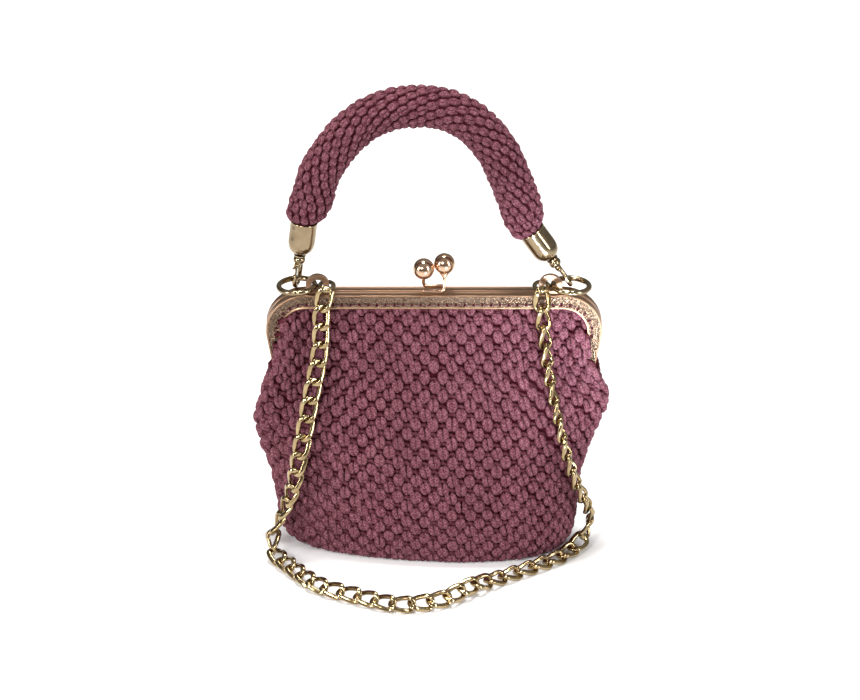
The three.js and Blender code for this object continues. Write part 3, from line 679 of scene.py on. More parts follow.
def grid_faces(rows, columns, wrap_rows=False, wrap_columns=True):
    """Four-sided faces of a grid of points, and the row and column of each corner."""
    r = np.arange(rows if wrap_rows else rows - 1)
    c = np.arange(columns if wrap_columns else columns - 1)
    r, c = (a.ravel() for a in np.meshgrid(r, c, indexing="ij"))
    corners = [(r, c), (r + 1, c), (r + 1, c + 1), (r, c + 1)]
    faces = np.stack([(row % rows) * columns + col % columns for row, col in corners], 1)
    places = np.stack([np.stack(corner, 1) for corner in corners], 1)
    return faces, places


def tubes(build, centres, radii, ups, sides, closed=False, heights=None, flat=1.0, square=2.0):
    """Cords along many paths at once. centres and ups are (count, steps, 3), radii (count, steps)."""
    centres = np.asarray(centres, float)
    count, steps, _ = centres.shape
    radii = np.broadcast_to(radii, (count, steps))
    if closed:
        along = np.roll(centres, -1, 1) - np.roll(centres, 1, 1)
    else:
        along = np.gradient(centres, axis=1)
    along = unit(along)
    across = unit(np.cross(along, ups))
    up = np.cross(across, along)
    angle = 2 * math.pi * np.arange(sides) / sides
    cos = np.sign(np.cos(angle)) * np.abs(np.cos(angle)) ** (2 / square)
    sin = np.sign(np.sin(angle)) * np.abs(np.sin(angle)) ** (2 / square) * flat
    r = radii[..., None, None]
    points = centres[:, :, None] + r * (cos[:, None] * across[:, :, None] + sin[:, None] * up[:, :, None])
    faces, places = grid_faces(steps, sides, wrap_rows=closed)
    run = np.concatenate(
        [np.zeros((count, 1)), np.cumsum(np.linalg.norm(np.diff(centres, axis=1), axis=2), 1)], axis=1
    )
    run = np.concatenate([run, run[:, -1:] + run[:, 1:2]], axis=1)
    u = run[:, places[..., 0]]
    v = np.broadcast_to(places[..., 1] / sides, u.shape)
    crowns = None
    if heights is not None:
        # Painted shade: each point's crown, from how high the cord stands there, darkens it low down
        crowns = np.clip((heights[..., None] + radii[..., None] * sin + CROWN_DEPTH) / CROWN_RISE, 0, 1)
    all_faces = (np.arange(count)[:, None, None] * steps * sides + faces).reshape(-1, 4)
    build.add(points, all_faces, np.stack([u, v], -1), crowns)


def tube(build, path, radius, sides, up, steps=None, closed=False):
    """One cord or wire along a path, with round ends where it isn't closed."""
    path = np.asarray(path, float)
    if steps:
        path = even(path, steps)
    radius = np.broadcast_to(np.asarray(radius, float), (len(path),)).copy()
    if not closed:
        ends = unit(np.array([path[0] - path[1], path[-1] - path[-2]]))
        bulge = np.array([0.94, 0.7, 0.05])
        reach = np.array([0.3, 0.62, 0.8])
        head = path[0] + ends[0] * radius[0] * reach[::-1, None]
        tail = path[-1] + ends[1] * radius[-1] * reach[:, None]
        path = np.vstack([head, path, tail])
        radius = np.concatenate([radius[0] * bulge[::-1], radius, radius[-1] * bulge])
    ups = np.broadcast_to(np.asarray(up, float), path.shape)
    tubes(build, path[None], radius[None], ups[None], sides, closed)


def turned(build, profile, matrix, sides, slot=0):
    """A turned piece: profile rows of radius and height about the matrix's Z."""
    profile = np.asarray(profile, float)
    angle = 2 * math.pi * np.arange(sides) / sides
    ring = np.stack([np.cos(angle), np.sin(angle)], 1)
    xy = profile[:, 0, None, None] * ring[None]
    z = np.broadcast_to(profile[:, 1, None, None], (len(profile), sides, 1))
    build.add(moved(np.concatenate([xy, z], 2), matrix), grid_faces(len(profile), sides)[0], slot=slot)


def moved(points, matrix):
    matrix = np.array(matrix)
    return np.asarray(points, float).reshape(-1, 3) @ matrix[:3, :3].T + matrix[:3, 3]


def rounded(profile, radius):
    """A profile with its corners rounded."""
    profile = np.asarray(profile, float)
    out = [profile[0]]
    for before, corner, after in zip(profile[:-2], profile[1:-1], profile[2:]):
        a, b = before - corner, after - corner
        la, lb = np.linalg.norm(a), np.linalg.norm(b)
        if min(la, lb) < 1e-6:
            out.append(corner)
            continue
        cut = min(radius, 0.45 * la, 0.45 * lb)
        start, end = corner + a / la * cut, corner + b / lb * cut
        for t in np.linspace(0, 1, 4):
            out.append((1 - t) ** 2 * start + 2 * t * (1 - t) * corner + t ** 2 * end)
    out.append(profile[-1])
    return np.array(out)


def plate(build, outline, matrix, thickness, edge, slot=0):
    """A flat plate with softened edges: outline rows of x and y, thickness about the matrix's XY plane."""
    outline = np.asarray(outline, float)
    nxt, prv = np.roll(outline, -1, 0), np.roll(outline, 1, 0)
    tangent = unit(nxt - prv)
    inward = np.stack([-tangent[:, 1], tangent[:, 0]], 1)
    half = thickness / 2
    levels = ((edge, -half), (0, -half + edge), (0, half - edge), (edge, half))
    rings = [np.column_stack([outline + inward * e, np.full(len(outline), z)]) for e, z in levels]
    n = len(outline)
    faces = [*grid_faces(len(levels), n)[0], np.arange(n)[::-1], np.arange(n) + n * (len(levels) - 1)]
    build.add(moved(np.concatenate(rings), matrix), faces, slot=slot)


def basis(place, z_axis, x_axis):
    """A placing whose Z and X run along the axes given."""
    z = unit(np.asarray(z_axis, float))
    y = unit(np.cross(z, np.asarray(x_axis, float)))
    matrix = np.eye(4)
    matrix[:3, 0], matrix[:3, 1], matrix[:3, 2], matrix[:3, 3] = np.cross(y, z), y, z, place
    return matrix


# Materials

def node(tree, kind, inputs=None, **settings):
    made = tree.nodes.new(kind)
    for name, value in settings.items():
        setattr(made, name, value)
    for name, value in (inputs or {}).items():
        if isinstance(value, bpy.types.NodeSocket):
            tree.links.new(value, made.inputs[name])
        else:
            made.inputs[name].default_value = value
    return made


def math_node(tree, operation, first, second=None):
    inputs = {0: first}
    if second is not None:
        inputs[1] = second
    return node(tree, "ShaderNodeMath", inputs, operation=operation).outputs[0]


def mixed(tree, factor, first, second):
    return node(tree, "ShaderNodeMix", {0: factor, 6: first, 7: second}, data_type="RGBA").outputs[2]


def stretched(tree, value, low, high, to_low=0.0, to_high=1.0):
    inputs = {"Value": value, "From Min": low, "From Max": high, "To Min": to_low, "To Max": to_high}
    return node(tree, "ShaderNodeMapRange", inputs).outputs["Result"]


def new_group(name, inputs, outputs):
    tree = bpy.data.node_groups.new(name, "ShaderNodeTree")
    for label, kind, value in inputs:
        tree.interface.new_socket(label, in_out="INPUT", socket_type=kind).default_value = value
    for label, kind in outputs:
        tree.interface.new_socket(label, in_out="OUTPUT", socket_type=kind)
    return tree, tree.nodes.new("NodeGroupInput").outputs, tree.nodes.new("NodeGroupOutput").inputs


COLOUR, NUMBER = "NodeSocketColor", "NodeSocketFloat"


def cord_group():
    """Braided cord: painted highlights along the plait, painted shade in the hollows by the cord's crown, and a
    slow random drift of tone.
    """
    found = bpy.data.node_groups.get("Braided cord")
    if found:
        return found
    tree, given, out = new_group(
        "Braided cord",
        (
            ("Cord", COLOUR, (0.1, 0.03, 0.04, 1)),
            ("Fleck", COLOUR, (0.3, 0.12, 0.16, 1)),
            ("Hollow shade", COLOUR, (0.05, 0.01, 0.02, 1)),
            ("Plait length", NUMBER, 1.5),
        ),
        (("Colour", COLOUR), ("Roughness", NUMBER), ("Height", NUMBER)),
    )
    uv = node(tree, "ShaderNodeUVMap", uv_map="cord").outputs[0]
    parts = node(tree, "ShaderNodeSeparateXYZ", {0: uv}).outputs
    plaits = math_node(tree, "DIVIDE", parts[0], given["Plait length"])
    along = math_node(tree, "MULTIPLY", plaits, 2 * math.pi)
    around = math_node(tree, "MULTIPLY", parts[1], 8 * math.pi)
    one_way = math_node(tree, "SINE", math_node(tree, "ADD", along, around))
    other_way = math_node(tree, "SINE", math_node(tree, "SUBTRACT", along, around))
    plait = math_node(tree, "MAXIMUM", one_way, other_way)
    place = node(tree, "ShaderNodeTexCoord").outputs["Object"]
    fine = {"Vector": place, "Scale": 760.0, "Detail": 2.0, "Roughness": 0.6}
    fleck = node(tree, "ShaderNodeTexNoise", fine)
    drift = node(tree, "ShaderNodeTexNoise", {"Vector": place, "Scale": 38.0, "Detail": 2.0})
    # Painted shade: low cord, by its crown, turns to the hollow colour
    crown = node(tree, "ShaderNodeAttribute", attribute_name="crown").outputs["Fac"]
    depth = stretched(tree, crown, 0.2, 0.85)
    # Painted highlights along the plait, with random flecks
    shade = math_node(tree, "ADD", math_node(tree, "MULTIPLY", plait, 0.1), fleck.outputs[0])
    speckle = mixed(tree, stretched(tree, shade, 0.38, 0.72), given["Cord"], given["Fleck"])
    slow = stretched(tree, drift.outputs[0], 0.3, 0.7, 0.9, 1.08)
    lit = node(tree, "ShaderNodeVectorMath", {0: speckle, "Scale": slow}, operation="SCALE")
    tree.links.new(mixed(tree, depth, given["Hollow shade"], lit.outputs[0]), out["Colour"])
    tree.links.new(stretched(tree, fleck.outputs[0], 0.3, 0.7, 0.72, 0.9), out["Roughness"])
    height = math_node(tree, "ADD", math_node(tree, "MULTIPLY", plait, 0.6), fleck.outputs[0])
    tree.links.new(height, out["Height"])
    return tree


def plating_group():
    """Plated metal: handling marks that dull the shine, thin hairlines and a slow change of tint."""
    found = bpy.data.node_groups.get("Plated metal")
    if found:
        return found
    tree, given, out = new_group(
        "Plated metal",
        (
            ("Plating", COLOUR, (0.7, 0.55, 0.35, 1)),
            ("Tint", COLOUR, (0.6, 0.4, 0.25, 1)),
            ("Shine", NUMBER, 0.15),
        ),
        (("Colour", COLOUR), ("Roughness", NUMBER), ("Height", NUMBER)),
    )
    place = node(tree, "ShaderNodeTexCoord").outputs["Object"]
    smudge = node(tree, "ShaderNodeTexNoise", {"Vector": place, "Scale": 120.0, "Detail": 3.0})
    drawn = node(tree, "ShaderNodeMapping", {"Vector": place, "Scale": (300.0, 300.0, 4000.0)}).outputs[0]
    hairline = node(tree, "ShaderNodeTexNoise", {"Vector": drawn, "Scale": 1.0, "Detail": 1.0})
    tint = stretched(tree, smudge.outputs[0], 0.35, 0.75)
    tree.links.new(mixed(tree, tint, given["Plating"], given["Tint"]), out["Colour"])
    dull = stretched(tree, smudge.outputs[0], 0.35, 0.7, 0.0, 0.1)
    tree.links.new(math_node(tree, "ADD", given["Shine"], dull), out["Roughness"])
    tree.links.new(hairline.outputs[0], out["Height"])
    return tree


def new_material(name):
    material = bpy.data.materials.new(name)
    material.use_nodes = True
    tree = material.node_tree
    tree.nodes.clear()
    shader = node(tree, "ShaderNodeBsdfPrincipled")
    output = node(tree, "ShaderNodeOutputMaterial")
    tree.links.new(shader.outputs[0], output.inputs["Surface"])
    return material, tree, shader


def place_group(tree, group, values):
    made = node(tree, "ShaderNodeGroup")
    made.node_tree = group
    for label, value in values.items():
        made.inputs[label].default_value = value
    return made.outputs


def bumped(tree, shader, height, strength, distance):
    bump = node(tree, "ShaderNodeBump", {"Height": height, "Strength": strength, "Distance": distance})
    tree.links.new(bump.outputs[0], shader.inputs["Normal"])


def cord_material(name, cord, fleck, hollow, plait):
    found = bpy.data.materials.get(name)
    if found:
        return found
    material, tree, shader = new_material(name)
    # The hollow colour is the painted shade that low cord takes
    values = {"Cord": (*cord, 1), "Fleck": (*fleck, 1), "Hollow shade": (*hollow, 1), "Plait length": plait}
    weave = place_group(tree, cord_group(), values)
    tree.links.new(weave["Colour"], shader.inputs["Base Color"])
    tree.links.new(weave["Roughness"], shader.inputs["Roughness"])
    bumped(tree, shader, weave["Height"], 0.55, 0.0004)
    shader.inputs["Specular IOR Level"].default_value = 0.12
    return material


def mauve_cord(look):
    return cord_material("mauve_cord", look.cord_colour, look.fleck_colour, look.hollow_shade_colour, CORD_PLAIT)


# Painted shade: cord in the hollow colour throughout, for the inner layer and the discs down the sewing holes
def painted_shade_cord(look):
    return cord_material("painted_shade_cord", look.hollow_shade_colour, look.cord_colour, look.hollow_shade_colour, CORD_PLAIT)


def plated_material(name, plating, tint, shine):
    found = bpy.data.materials.get(name)
    if found:
        return found
    material, tree, shader = new_material(name)
    values = {"Plating": (*plating, 1), "Tint": (*tint, 1), "Shine": shine}
    finish = place_group(tree, plating_group(), values)
    tree.links.new(finish["Colour"], shader.inputs["Base Color"])
    tree.links.new(finish["Roughness"], shader.inputs["Roughness"])
    bumped(tree, shader, finish["Height"], 0.08, 0.0001)
    shader.inputs["Metallic"].default_value = 1.0
    return material


def embossed_material(name, plating, groove_shade, shine):
    """The frame's faces: plating pressed with a fine pebbled grain, darker down in the grain as painted shade.
    """
    material, tree, shader = new_material(name)
    values = {"Plating": (*plating, 1), "Tint": (*plating, 1), "Shine": shine}
    finish = place_group(tree, plating_group(), values)
    place = node(tree, "ShaderNodeTexCoord").outputs["Object"]
    cells = node(tree, "ShaderNodeTexVoronoi", {"Vector": place, "Scale": 900.0}, feature="SMOOTH_F1")
    pebble = cells.outputs["Distance"]
    grit = node(tree, "ShaderNodeTexNoise", {"Vector": place, "Scale": 1500.0, "Detail": 2.0}).outputs[0]
    height = math_node(tree, "SUBTRACT", math_node(tree, "MULTIPLY", grit, 0.8), pebble)
    # Painted shade: the grain's low places take the groove colour
    low = stretched(tree, pebble, 0.35, 0.75)
    tree.links.new(mixed(tree, low, finish["Colour"], (*groove_shade, 1)), shader.inputs["Base Color"])
    tree.links.new(finish["Roughness"], shader.inputs["Roughness"])
    bumped(tree, shader, height, 1.0, 0.0006)
    shader.inputs["Metallic"].default_value = 1.0
    return material


def floor_material(name, colour):
    material, tree, shader = new_material(name)
    place = node(tree, "ShaderNodeTexCoord").outputs["Object"]
    cloud = node(tree, "ShaderNodeTexNoise", {"Vector": place, "Scale": 3.0, "Detail": 2.0}).outputs[0]
    shade = stretched(tree, cloud, 0.2, 0.8, 0.99, 1.0)
    tone = node(tree, "ShaderNodeVectorMath", {0: colour, "Scale": shade}, operation="SCALE")
    tree.links.new(tone.outputs[0], shader.inputs["Base Color"])
    shader.inputs["Roughness"].default_value = 0.9
    shader.inputs["Specular IOR Level"].default_value = 0.1
    return material


# Crochet

def stitch_cords(build, surface, f, v, strands, scale, twist, sides, lift, settle=None):
    """Lays the strands of one stitch at each place (f, v) of a surface."""
    steps = len(STRAND_TAPER)
    taper = np.array(STRAND_TAPER)
    rng = np.random.default_rng(SEED)
    for radius, points in strands:
        shape = even(spline(points, 8), steps)
        wobble = rng.normal(0, 1, (len(f), 1, 3)) * STRAND_WOBBLE
        along, up, out = np.moveaxis(shape[None] + wobble, -1, 0)
        cos, sin = np.cos(twist)[:, None], np.sin(twist)[:, None]
        a = (along * cos - up * sin) * scale[:, :1]
        b = (along * sin + up * cos) * scale[:, 1:]
        rise = v[:, None] + b
        across = surface.keep_side(f[:, None] + a / surface.around(f[:, None], rise), f[:, None], rise)
        places, normals = surface.at(across, rise)
        centres = places + normals * (out + lift)[..., None]
        radii = radius * taper[None] * rng.normal(1, STRAND_VARIES, (len(f), 1)) * np.sqrt(scale[:, :1])
        if settle is not None:
            centres = settle(centres, radii)
        tubes(build, centres, radii, normals, sides, heights=out)


def clear_of_frame(centres, radii, over):
    """Keeps cord over the floor, under the frame's rim, and in front of the legs that it covers."""
    x, y, z = np.moveaxis(centres, -1, 0)
    side = np.where(y < 0, -1.0, 1.0)
    inset = inset_from_frame_edge(x, z)
    tucked = (z > LEG_END_Z) & (inset < TUCK_INSETS[1]) & ~over
    deepest = TUCK_Y + np.maximum(0, inset - TUCK_INSETS[0]) * TUCK_SLOPE
    beside_hinge = (z > AHEAD_HINGE_Z) & (np.abs(x) < HINGE_WRAP_X[1]) | (z > SLIT_BOTTOM)
    in_front = beside_hinge & (inset < AHEAD_INSET) & over
    nearest = FACE_Y + AHEAD_GAP + AHEAD_SHARE * radii
    depth = np.where(tucked, np.minimum(np.abs(y), deepest), np.abs(y))
    depth = np.where(in_front, np.maximum(depth, nearest), depth)
    return np.stack([x, side * depth, np.maximum(z, radii + FLOOR_GAP)], -1)


def body_lattice(surface):
    """Places of the stitches from under the frame down to the base: f, v and stretch, for staggered rows."""
    rng = np.random.default_rng(SEED)
    f, v, scale = [], [], []
    row = 0
    level = surface.height_to_v(TOP_ROW_Z)
    per_quarter = STITCHES_ROUND // 4
    while level > BASE_HOLE - BASE_INSET:
        height = read_off(ROW_HEIGHTS, level)
        on_side = level > LAST_SIDE_ROW
        shift = 0.5 * (row % 2)
        for quarter in range(4):
            length = float(surface.around(np.array(quarter / 4 + 0.1), np.array(level))) / 4
            from_middle = quarter in (1, 3)
            count = per_quarter if on_side else max(2, int(round(length / STITCH_WIDTH)))
            straight = per_quarter - SIDE_STITCHES if on_side else 0
            rest = (length - straight * STITCH_WIDTH) / (count - straight)
            steps = np.arange(count) + (shift if from_middle else 1 - shift)
            after = straight * STITCH_WIDTH + (steps - straight) * rest
            reach = np.where(steps < straight, steps * STITCH_WIDTH, after) / length
            share = reach if from_middle else 1 - reach
            width = np.where(steps < straight, 1.0, rest / STITCH_WIDTH)
            f.append((quarter + share) / 4 + rng.normal(0, PLACE_VARIES[0], count))
            v.append(level + rng.normal(0, PLACE_VARIES[1], count))
            stretch = np.column_stack([width, np.full(count, height / STITCH_HEIGHT)])
            scale.append(stretch * rng.normal(1, SIZE_VARIES, (count, 1)))
        level -= height
        row += 1
    return np.concatenate(f), np.concatenate(v), np.concatenate(scale)


def edge_stitches(surface, f, v, scale):
    """Adds stitches where the rows end at the frame's legs and leave a gap beside the metal."""
    f, v, scale = list(f), list(v), list(scale)
    for z in np.arange(EDGE_STITCH_FROM, max(LEG_COVER_TOPS) - 1, EDGE_STITCH_STEP):
        level = surface.height_to_v(z)
        for corner, inward in ((0, 1), (0.5, -1), (0.5, 1), (1, -1)):
            tries = corner + inward * np.linspace(0.004, 0.12, 80)
            places, _ = surface.at(tries, np.full(len(tries), level))
            if z > leg_cover_top(places[0, 0]) - 1:
                continue
            inset = inset_from_frame_edge(places[:, 0], places[:, 2])
            wanted = leg_shows(places[0, 0], z) + EDGE_STITCH_INSET
            edge = tries[np.argmax(inset > wanted)]
            pace = float(surface.around(np.array(edge), np.array(level)))
            near = np.hypot((np.array(f) - edge) * pace, np.array(v) - level)
            if near.min() > read_off(EDGE_STITCH_GAPS, z):
                f.append(edge)
                v.append(level)
                scale.append(np.array(EDGE_STITCH_SCALE))
    return np.array(f), np.array(v), np.array(scale)


class BAG_OT_body(bpy.types.Operator):
    """Crochets the bag's body from cord over an inner layer of painted shade"""

    bl_idname = "bag.crochet_body"
    bl_label = "Crochet body"

    def execute(self, context):
        look = context.scene.bag_crochet
        surface = BodySurface()
        f, v, scale = body_lattice(surface)
        on_grid = surface.look_up(surface.grid, f, v)
        x, y, z = on_grid.T
        inset = inset_from_frame_edge(x, z)
        covered = z < leg_cover_top(x)
        beside = (z > SLIT_BOTTOM) & covered & (np.abs(y) < SLIT_ROOM)
        on_leg = (z > LEG_BARE_Z) & covered & (inset < leg_shows(x, z) + LEG_ROOM)
        under_rim = ~covered & (inset < RIM_ROOM)
        kept = ~(beside | on_leg | under_rim)
        f, v, scale = edge_stitches(surface, f[kept], v[kept], scale[kept])
        x, _, z = surface.look_up(surface.grid, f, v).T
        over = z < leg_cover_top(x)
        base = v < BASE_EDGE
        turns = np.random.default_rng(SEED + 1).normal(BODY_LEAN, STITCH_TURNS, len(f))
        twist = turns + np.where(base, 0, surface.lean(f, v))
        cord = mauve_cord(look)
        for name, chosen in (
            ("crochet_front", ~base & (np.mod(f, 1) < 0.5)),
            ("crochet_back", ~base & (np.mod(f, 1) >= 0.5)),
            ("crochet_base", base),
        ):
            build = Build()
            in_front = over[chosen][:, None]
            stitch_cords(
                build, surface, f[chosen], v[chosen], BODY_STITCH, scale[chosen], twist[chosen], 8,
                STRAND_LIFT, settle=lambda centres, radii: clear_of_frame(centres, radii, in_front),
            )
            build.piece(name, [cord], "bag", ["bag_body"], "crochet")
        self.inner_layer(surface, look)
        return {"FINISHED"}

    def inner_layer(self, surface, look):
        """The inner side of the stitches, painted dark as the shade seen between them."""
        columns = np.linspace(0, 1, 200, endpoint=False)
        base_rows = np.linspace(-BASE_INSET, 0, 9)
        side_rows = np.linspace(3, surface.height_to_v(BACKING_TOP_Z), 80)
        rows = np.concatenate([base_rows, side_rows])
        v, f = np.meshgrid(rows, columns, indexing="ij")
        places, normals = surface.at(f, v)
        x, y, z = np.moveaxis(places, -1, 0)
        past_leg = inset_from_frame_edge(x, z) > leg_shows(x, z) + BACKING_ROOM
        over = (z < leg_cover_top(x)) & past_leg & (np.abs(y) > FACE_Y)
        sunk = places - normals * BACKING_DEPTH
        points = clear_of_frame(sunk, np.full(f.shape, BACKING_GAP), over)
        points[..., 2] = np.maximum(points[..., 2], BACKING_FLOOR)
        untouched = surface.look_up(surface.grid, f, v)
        slit = (np.abs(untouched[..., 1]) < SLIT_HALF) & (untouched[..., 2] > SLIT_BOTTOM)
        points[..., 0] = np.where(slit, np.clip(points[..., 0], -SLIT_DEEP_X, SLIT_DEEP_X), points[..., 0])
        points[..., 1] = np.where(slit, untouched[..., 1], points[..., 1])
        faces, _ = grid_faces(len(rows), len(columns))
        crowns = np.full(f.size, BACKING_CROWN)
        build = Build().add(points, [*faces, np.arange(len(columns))], crowns=crowns)
        build.piece("crochet_inner_layer", [painted_shade_cord(look)], "bag", ["bag_body"], "crochet")


class BAG_OT_handle(bpy.types.Operator):
    """Crochets the stuffed handle in slanting rounds"""

    bl_idname = "bag.crochet_handle"
    bl_label = "Crochet handle"

    def execute(self, context):
        look = context.scene.bag_crochet
        surface = HandleSurface()
        first, last = PLUG_DEPTH + HANDLE_ROUNDS[0], surface.length - PLUG_DEPTH - HANDLE_ROUNDS[1]
        rows = int(round((last - first) / HANDLE_ROW)) + 1
        s = np.linspace(first, last, rows)
        row, stitch = np.divmod(np.arange(rows * HANDLE_ROUND), HANDLE_ROUND)
        f = (stitch + HANDLE_DRIFT * row) / HANDLE_ROUND
        rng = np.random.default_rng(SEED + 2)
        width = surface.around(None, s[row]) / HANDLE_ROUND / HANDLE_STITCH_WIDTH
        scale = np.column_stack([width, np.ones(len(row))]) * rng.normal(1, HANDLE_SIZE_VARIES, (len(row), 1))
        twist = HANDLE_LEAN + rng.normal(0, STITCH_TURNS, len(row))
        along = s[row] + rng.normal(0, HANDLE_PLACE_VARIES, len(row))
        cord = mauve_cord(look)
        build = Build()
        stitch_cords(build, surface, f, along, HANDLE_STITCH, scale, twist, 6, HANDLE_LIFT)
        # A core under the stitches, painted as shade by its low crown, seen dark between them
        left_end, right_end = np.linspace(0, first, 12), np.linspace(last, surface.length, 12)
        run = np.concatenate([left_end, np.linspace(first + 2, last - 2, 110), right_end])
        core_f, core_s = np.meshgrid(np.linspace(0, 1, CORE_SIDES, endpoint=False), run)
        places, normals = surface.at(core_f, core_s)
        plugged = np.minimum(core_s, surface.length - core_s) < PLUG_DEPTH + 0.4
        points = places - normals * np.where(plugged, 0.0, CORE_SINK)[..., None]
        rim = np.arange(CORE_SIDES)
        faces = [*grid_faces(len(run), CORE_SIDES)[0], rim[::-1], rim + CORE_SIDES * (len(run) - 1)]
        build.add(points, faces, crowns=np.full(core_f.size, CORE_CROWN))
        made = build.piece("crochet_handle", [cord], "bag", ["handle_tube"], "crochet")
        return {"FINISHED"}


# Kiss-lock frame

class FramePath:
    """The frame's outer edge from the left leg's end to the right one's, measured along the sewing holes."""

    def __init__(self):
        self.leg = (CORNER_Z - CORNER_RADIUS * math.sin(LEG_LEAN) - LEG_END_Z) / math.cos(LEG_LEAN)
        self.turn = math.pi / 2 + LEG_LEAN
        self.arc = (CORNER_RADIUS - HOLE_INSET) * self.turn
        self.half = self.leg + self.arc + CORNER_X
        self.cells = int(round(2 * self.half / HOLE_PITCH))
        self.pitch = 2 * self.half / self.cells

    def at(self, t):
        """Places on the edge and directions inward, for distances from the left leg's end."""
        t = np.asarray(t, float)
        side = np.where(t < self.half, -1.0, 1.0)
        d = np.abs(t - self.half)
        on_arc = np.clip((d - CORNER_X) / self.arc, 0, 1) * self.turn
        angle = math.pi / 2 - on_arc
        out = np.stack([np.cos(angle), np.zeros_like(angle), np.sin(angle)], -1)
        straight = np.minimum(d, CORNER_X)
        place = out * CORNER_RADIUS
        place[..., 0] += straight
        place[..., 2] += CORNER_Z
        down = np.maximum(0, d - CORNER_X - self.arc)
        place[..., 0] -= down * math.sin(LEG_LEAN)
        place[..., 2] -= down * math.cos(LEG_LEAN)
        flip = np.stack([side, np.ones_like(side), np.ones_like(side)], -1)
        return place * flip, -out * flip

    def point(self, t, inset, depth):
        place, inward = self.at(t)
        points = place + inward * np.asarray(inset, float)[..., None]
        points[..., 1] = depth
        return points


def frame_channel(build, path, side):
    """One half's channel: smooth roof and walls, and a face with a row of sewing holes."""
    upper, lower = HOLE_INSET - STRIP_HALF, HOLE_INSET + STRIP_HALF
    inner_face = FACE_Y - FACE_WALL
    corner = np.linspace(0, math.pi / 2, 5)
    cos, sin = EDGE_ROUND * np.cos(corner), EDGE_ROUND * np.sin(corner)
    outer_round = np.stack([FACE_Y - EDGE_ROUND + cos, EDGE_ROUND - sin], 1)
    inner_round = np.stack([INNER_Y + EDGE_ROUND - sin, EDGE_ROUND - cos], 1)
    # Sections as depth and inset; the first two strips of each lie on the grained face
    roof = np.array([
        (FACE_Y, upper), (FACE_Y, 2.6), (FACE_Y, 0.8), (FACE_Y - 0.1, 0.7), (FACE_Y - 0.1, 0.6), *outer_round,
        (5.75, 0.0), (5.4, 0.22), (2.1, 0.22), (1.75, 0.0), *inner_round, (INNER_Y, 3.0),
        (INNER_Y, INNER_HEIGHT), (INNER_Y + INNER_WALL, INNER_HEIGHT), (INNER_Y + INNER_WALL, ROOF),
        (inner_face, ROOF), (inner_face, upper),
    ])
    hem = np.array([
        (FACE_Y, lower), (FACE_Y, 7.6), (FACE_Y + 0.06, 7.85), (FACE_Y + 0.28, 8.1), (FACE_Y + 0.34, 8.45),
        (FACE_Y + 0.26, 8.8), (FACE_Y, FACE_HEIGHT), (FACE_Y - 0.45, FACE_HEIGHT + 0.05),
        (inner_face, FACE_HEIGHT - 0.1), (inner_face, lower),
    ])
    stations = np.arange(path.cells * 4 + 1) * path.pitch / 4
    for section in (roof, hem):
        t, depth = np.meshgrid(stations, section[:, 0], indexing="ij")
        points = path.point(t, np.broadcast_to(section[:, 1], t.shape), side * depth)
        faces, places = grid_faces(len(stations), len(section), wrap_columns=False)
        build.add(points, faces, slot=np.where(places[:, 0, 1] < 2, GRAINED, SMOOTH))
    frame_holes(build, path, side, inner_face)
    loop = np.vstack([roof, hem[::-1]])
    for t in (0.0, 2 * path.half):
        points = path.point(np.full(len(loop), t), loop[:, 1], side * loop[:, 0])
        build.add(points, [np.arange(len(loop))], slot=SMOOTH)


def frame_holes(build, path, side, inner_face):
    """The strip of the face with the sewing holes, through the wall, and a disc of painted shade down in each
    hole.
    """
    edge, end = np.linspace(-1, 1, 5)[:-1], np.ones(4)
    square = np.concatenate([
        np.stack(side_of, 1) for side_of in ((edge, -end), (end, edge), (-edge, end), (-end, -edge))
    ])
    angle = np.arctan2(square[:, 1], square[:, 0])
    circle = np.stack([np.cos(angle), np.sin(angle)], 1)
    cell, hole = square * (path.pitch / 2, STRIP_HALF), circle * HOLE_RADIUS
    rings = (
        (cell, FACE_Y), (circle * (HOLE_RADIUS + HOLE_BEVEL[0]), FACE_Y), (hole, FACE_Y - HOLE_BEVEL[1]),
        (hole, inner_face), (cell, inner_face),
    )
    faces, _ = grid_faces(len(rings), len(square))
    middles = (np.arange(path.cells) + 0.5) * path.pitch
    t = np.array([middles[:, None] + ring[:, 0] for ring, _ in rings]).transpose(1, 0, 2)
    inset = np.array([HOLE_INSET + ring[:, 1] for ring, _ in rings])
    depth = np.array([np.full(len(square), y) for _, y in rings]) * side
    points = path.point(t, np.broadcast_to(inset, t.shape), np.broadcast_to(depth, t.shape))
    size = len(rings) * len(square)
    all_faces = (np.arange(path.cells)[:, None, None] * size + faces).reshape(-1, 4)
    build.add(points, all_faces, slot=GRAINED)
    # Painted shade: a dark disc a little way down each hole
    deep = points[:, 3].copy()
    deep[..., 1] = side * (FACE_Y - HOLE_DEPTH)
    count = path.cells * len(square)
    build.add(deep, np.arange(count).reshape(path.cells, -1), crowns=np.zeros(count), slot=PAINTED_SHADE)


def lug(build, end):
    """A half-round plate soldered on the roof, with a round hole and softened edges."""
    steps = 56
    angle = 2 * math.pi * np.arange(steps) / steps
    ray = np.stack([np.cos(angle), np.sin(angle)], 1)
    foot = FRAME_TOP - LUG_HOLE_Z - ROOF / 2
    to_foot = foot / np.minimum(ray[:, 1], -1e-6)
    to_side = LUG_RADIUS / np.maximum(np.abs(ray[:, 0]), 1e-6)
    outline = np.where(ray[:, 1] < 0, np.minimum(to_foot, to_side), LUG_RADIUS)
    hole, half, bevel = np.full(steps, LUG_HOLE_RADIUS), LUG_HALF, 0.3
    rings = [(hole + bevel, -half), (hole, -half + bevel), (hole, half - bevel), (hole + bevel, half)]
    bevel = 0.35
    rings += [
        (outline - bevel, half), (outline, half - bevel), (outline, -half + bevel), (outline - bevel, -half)
    ]
    points = np.array([
        np.column_stack([reach * ray[:, 0], np.full(steps, depth), reach * ray[:, 1]]) for reach, depth in rings
    ])
    points += (end * LUG_X, -ROOF_Y, LUG_HOLE_Z)
    build.add(points, grid_faces(len(rings), steps, wrap_rows=True)[0], slot=SATIN)


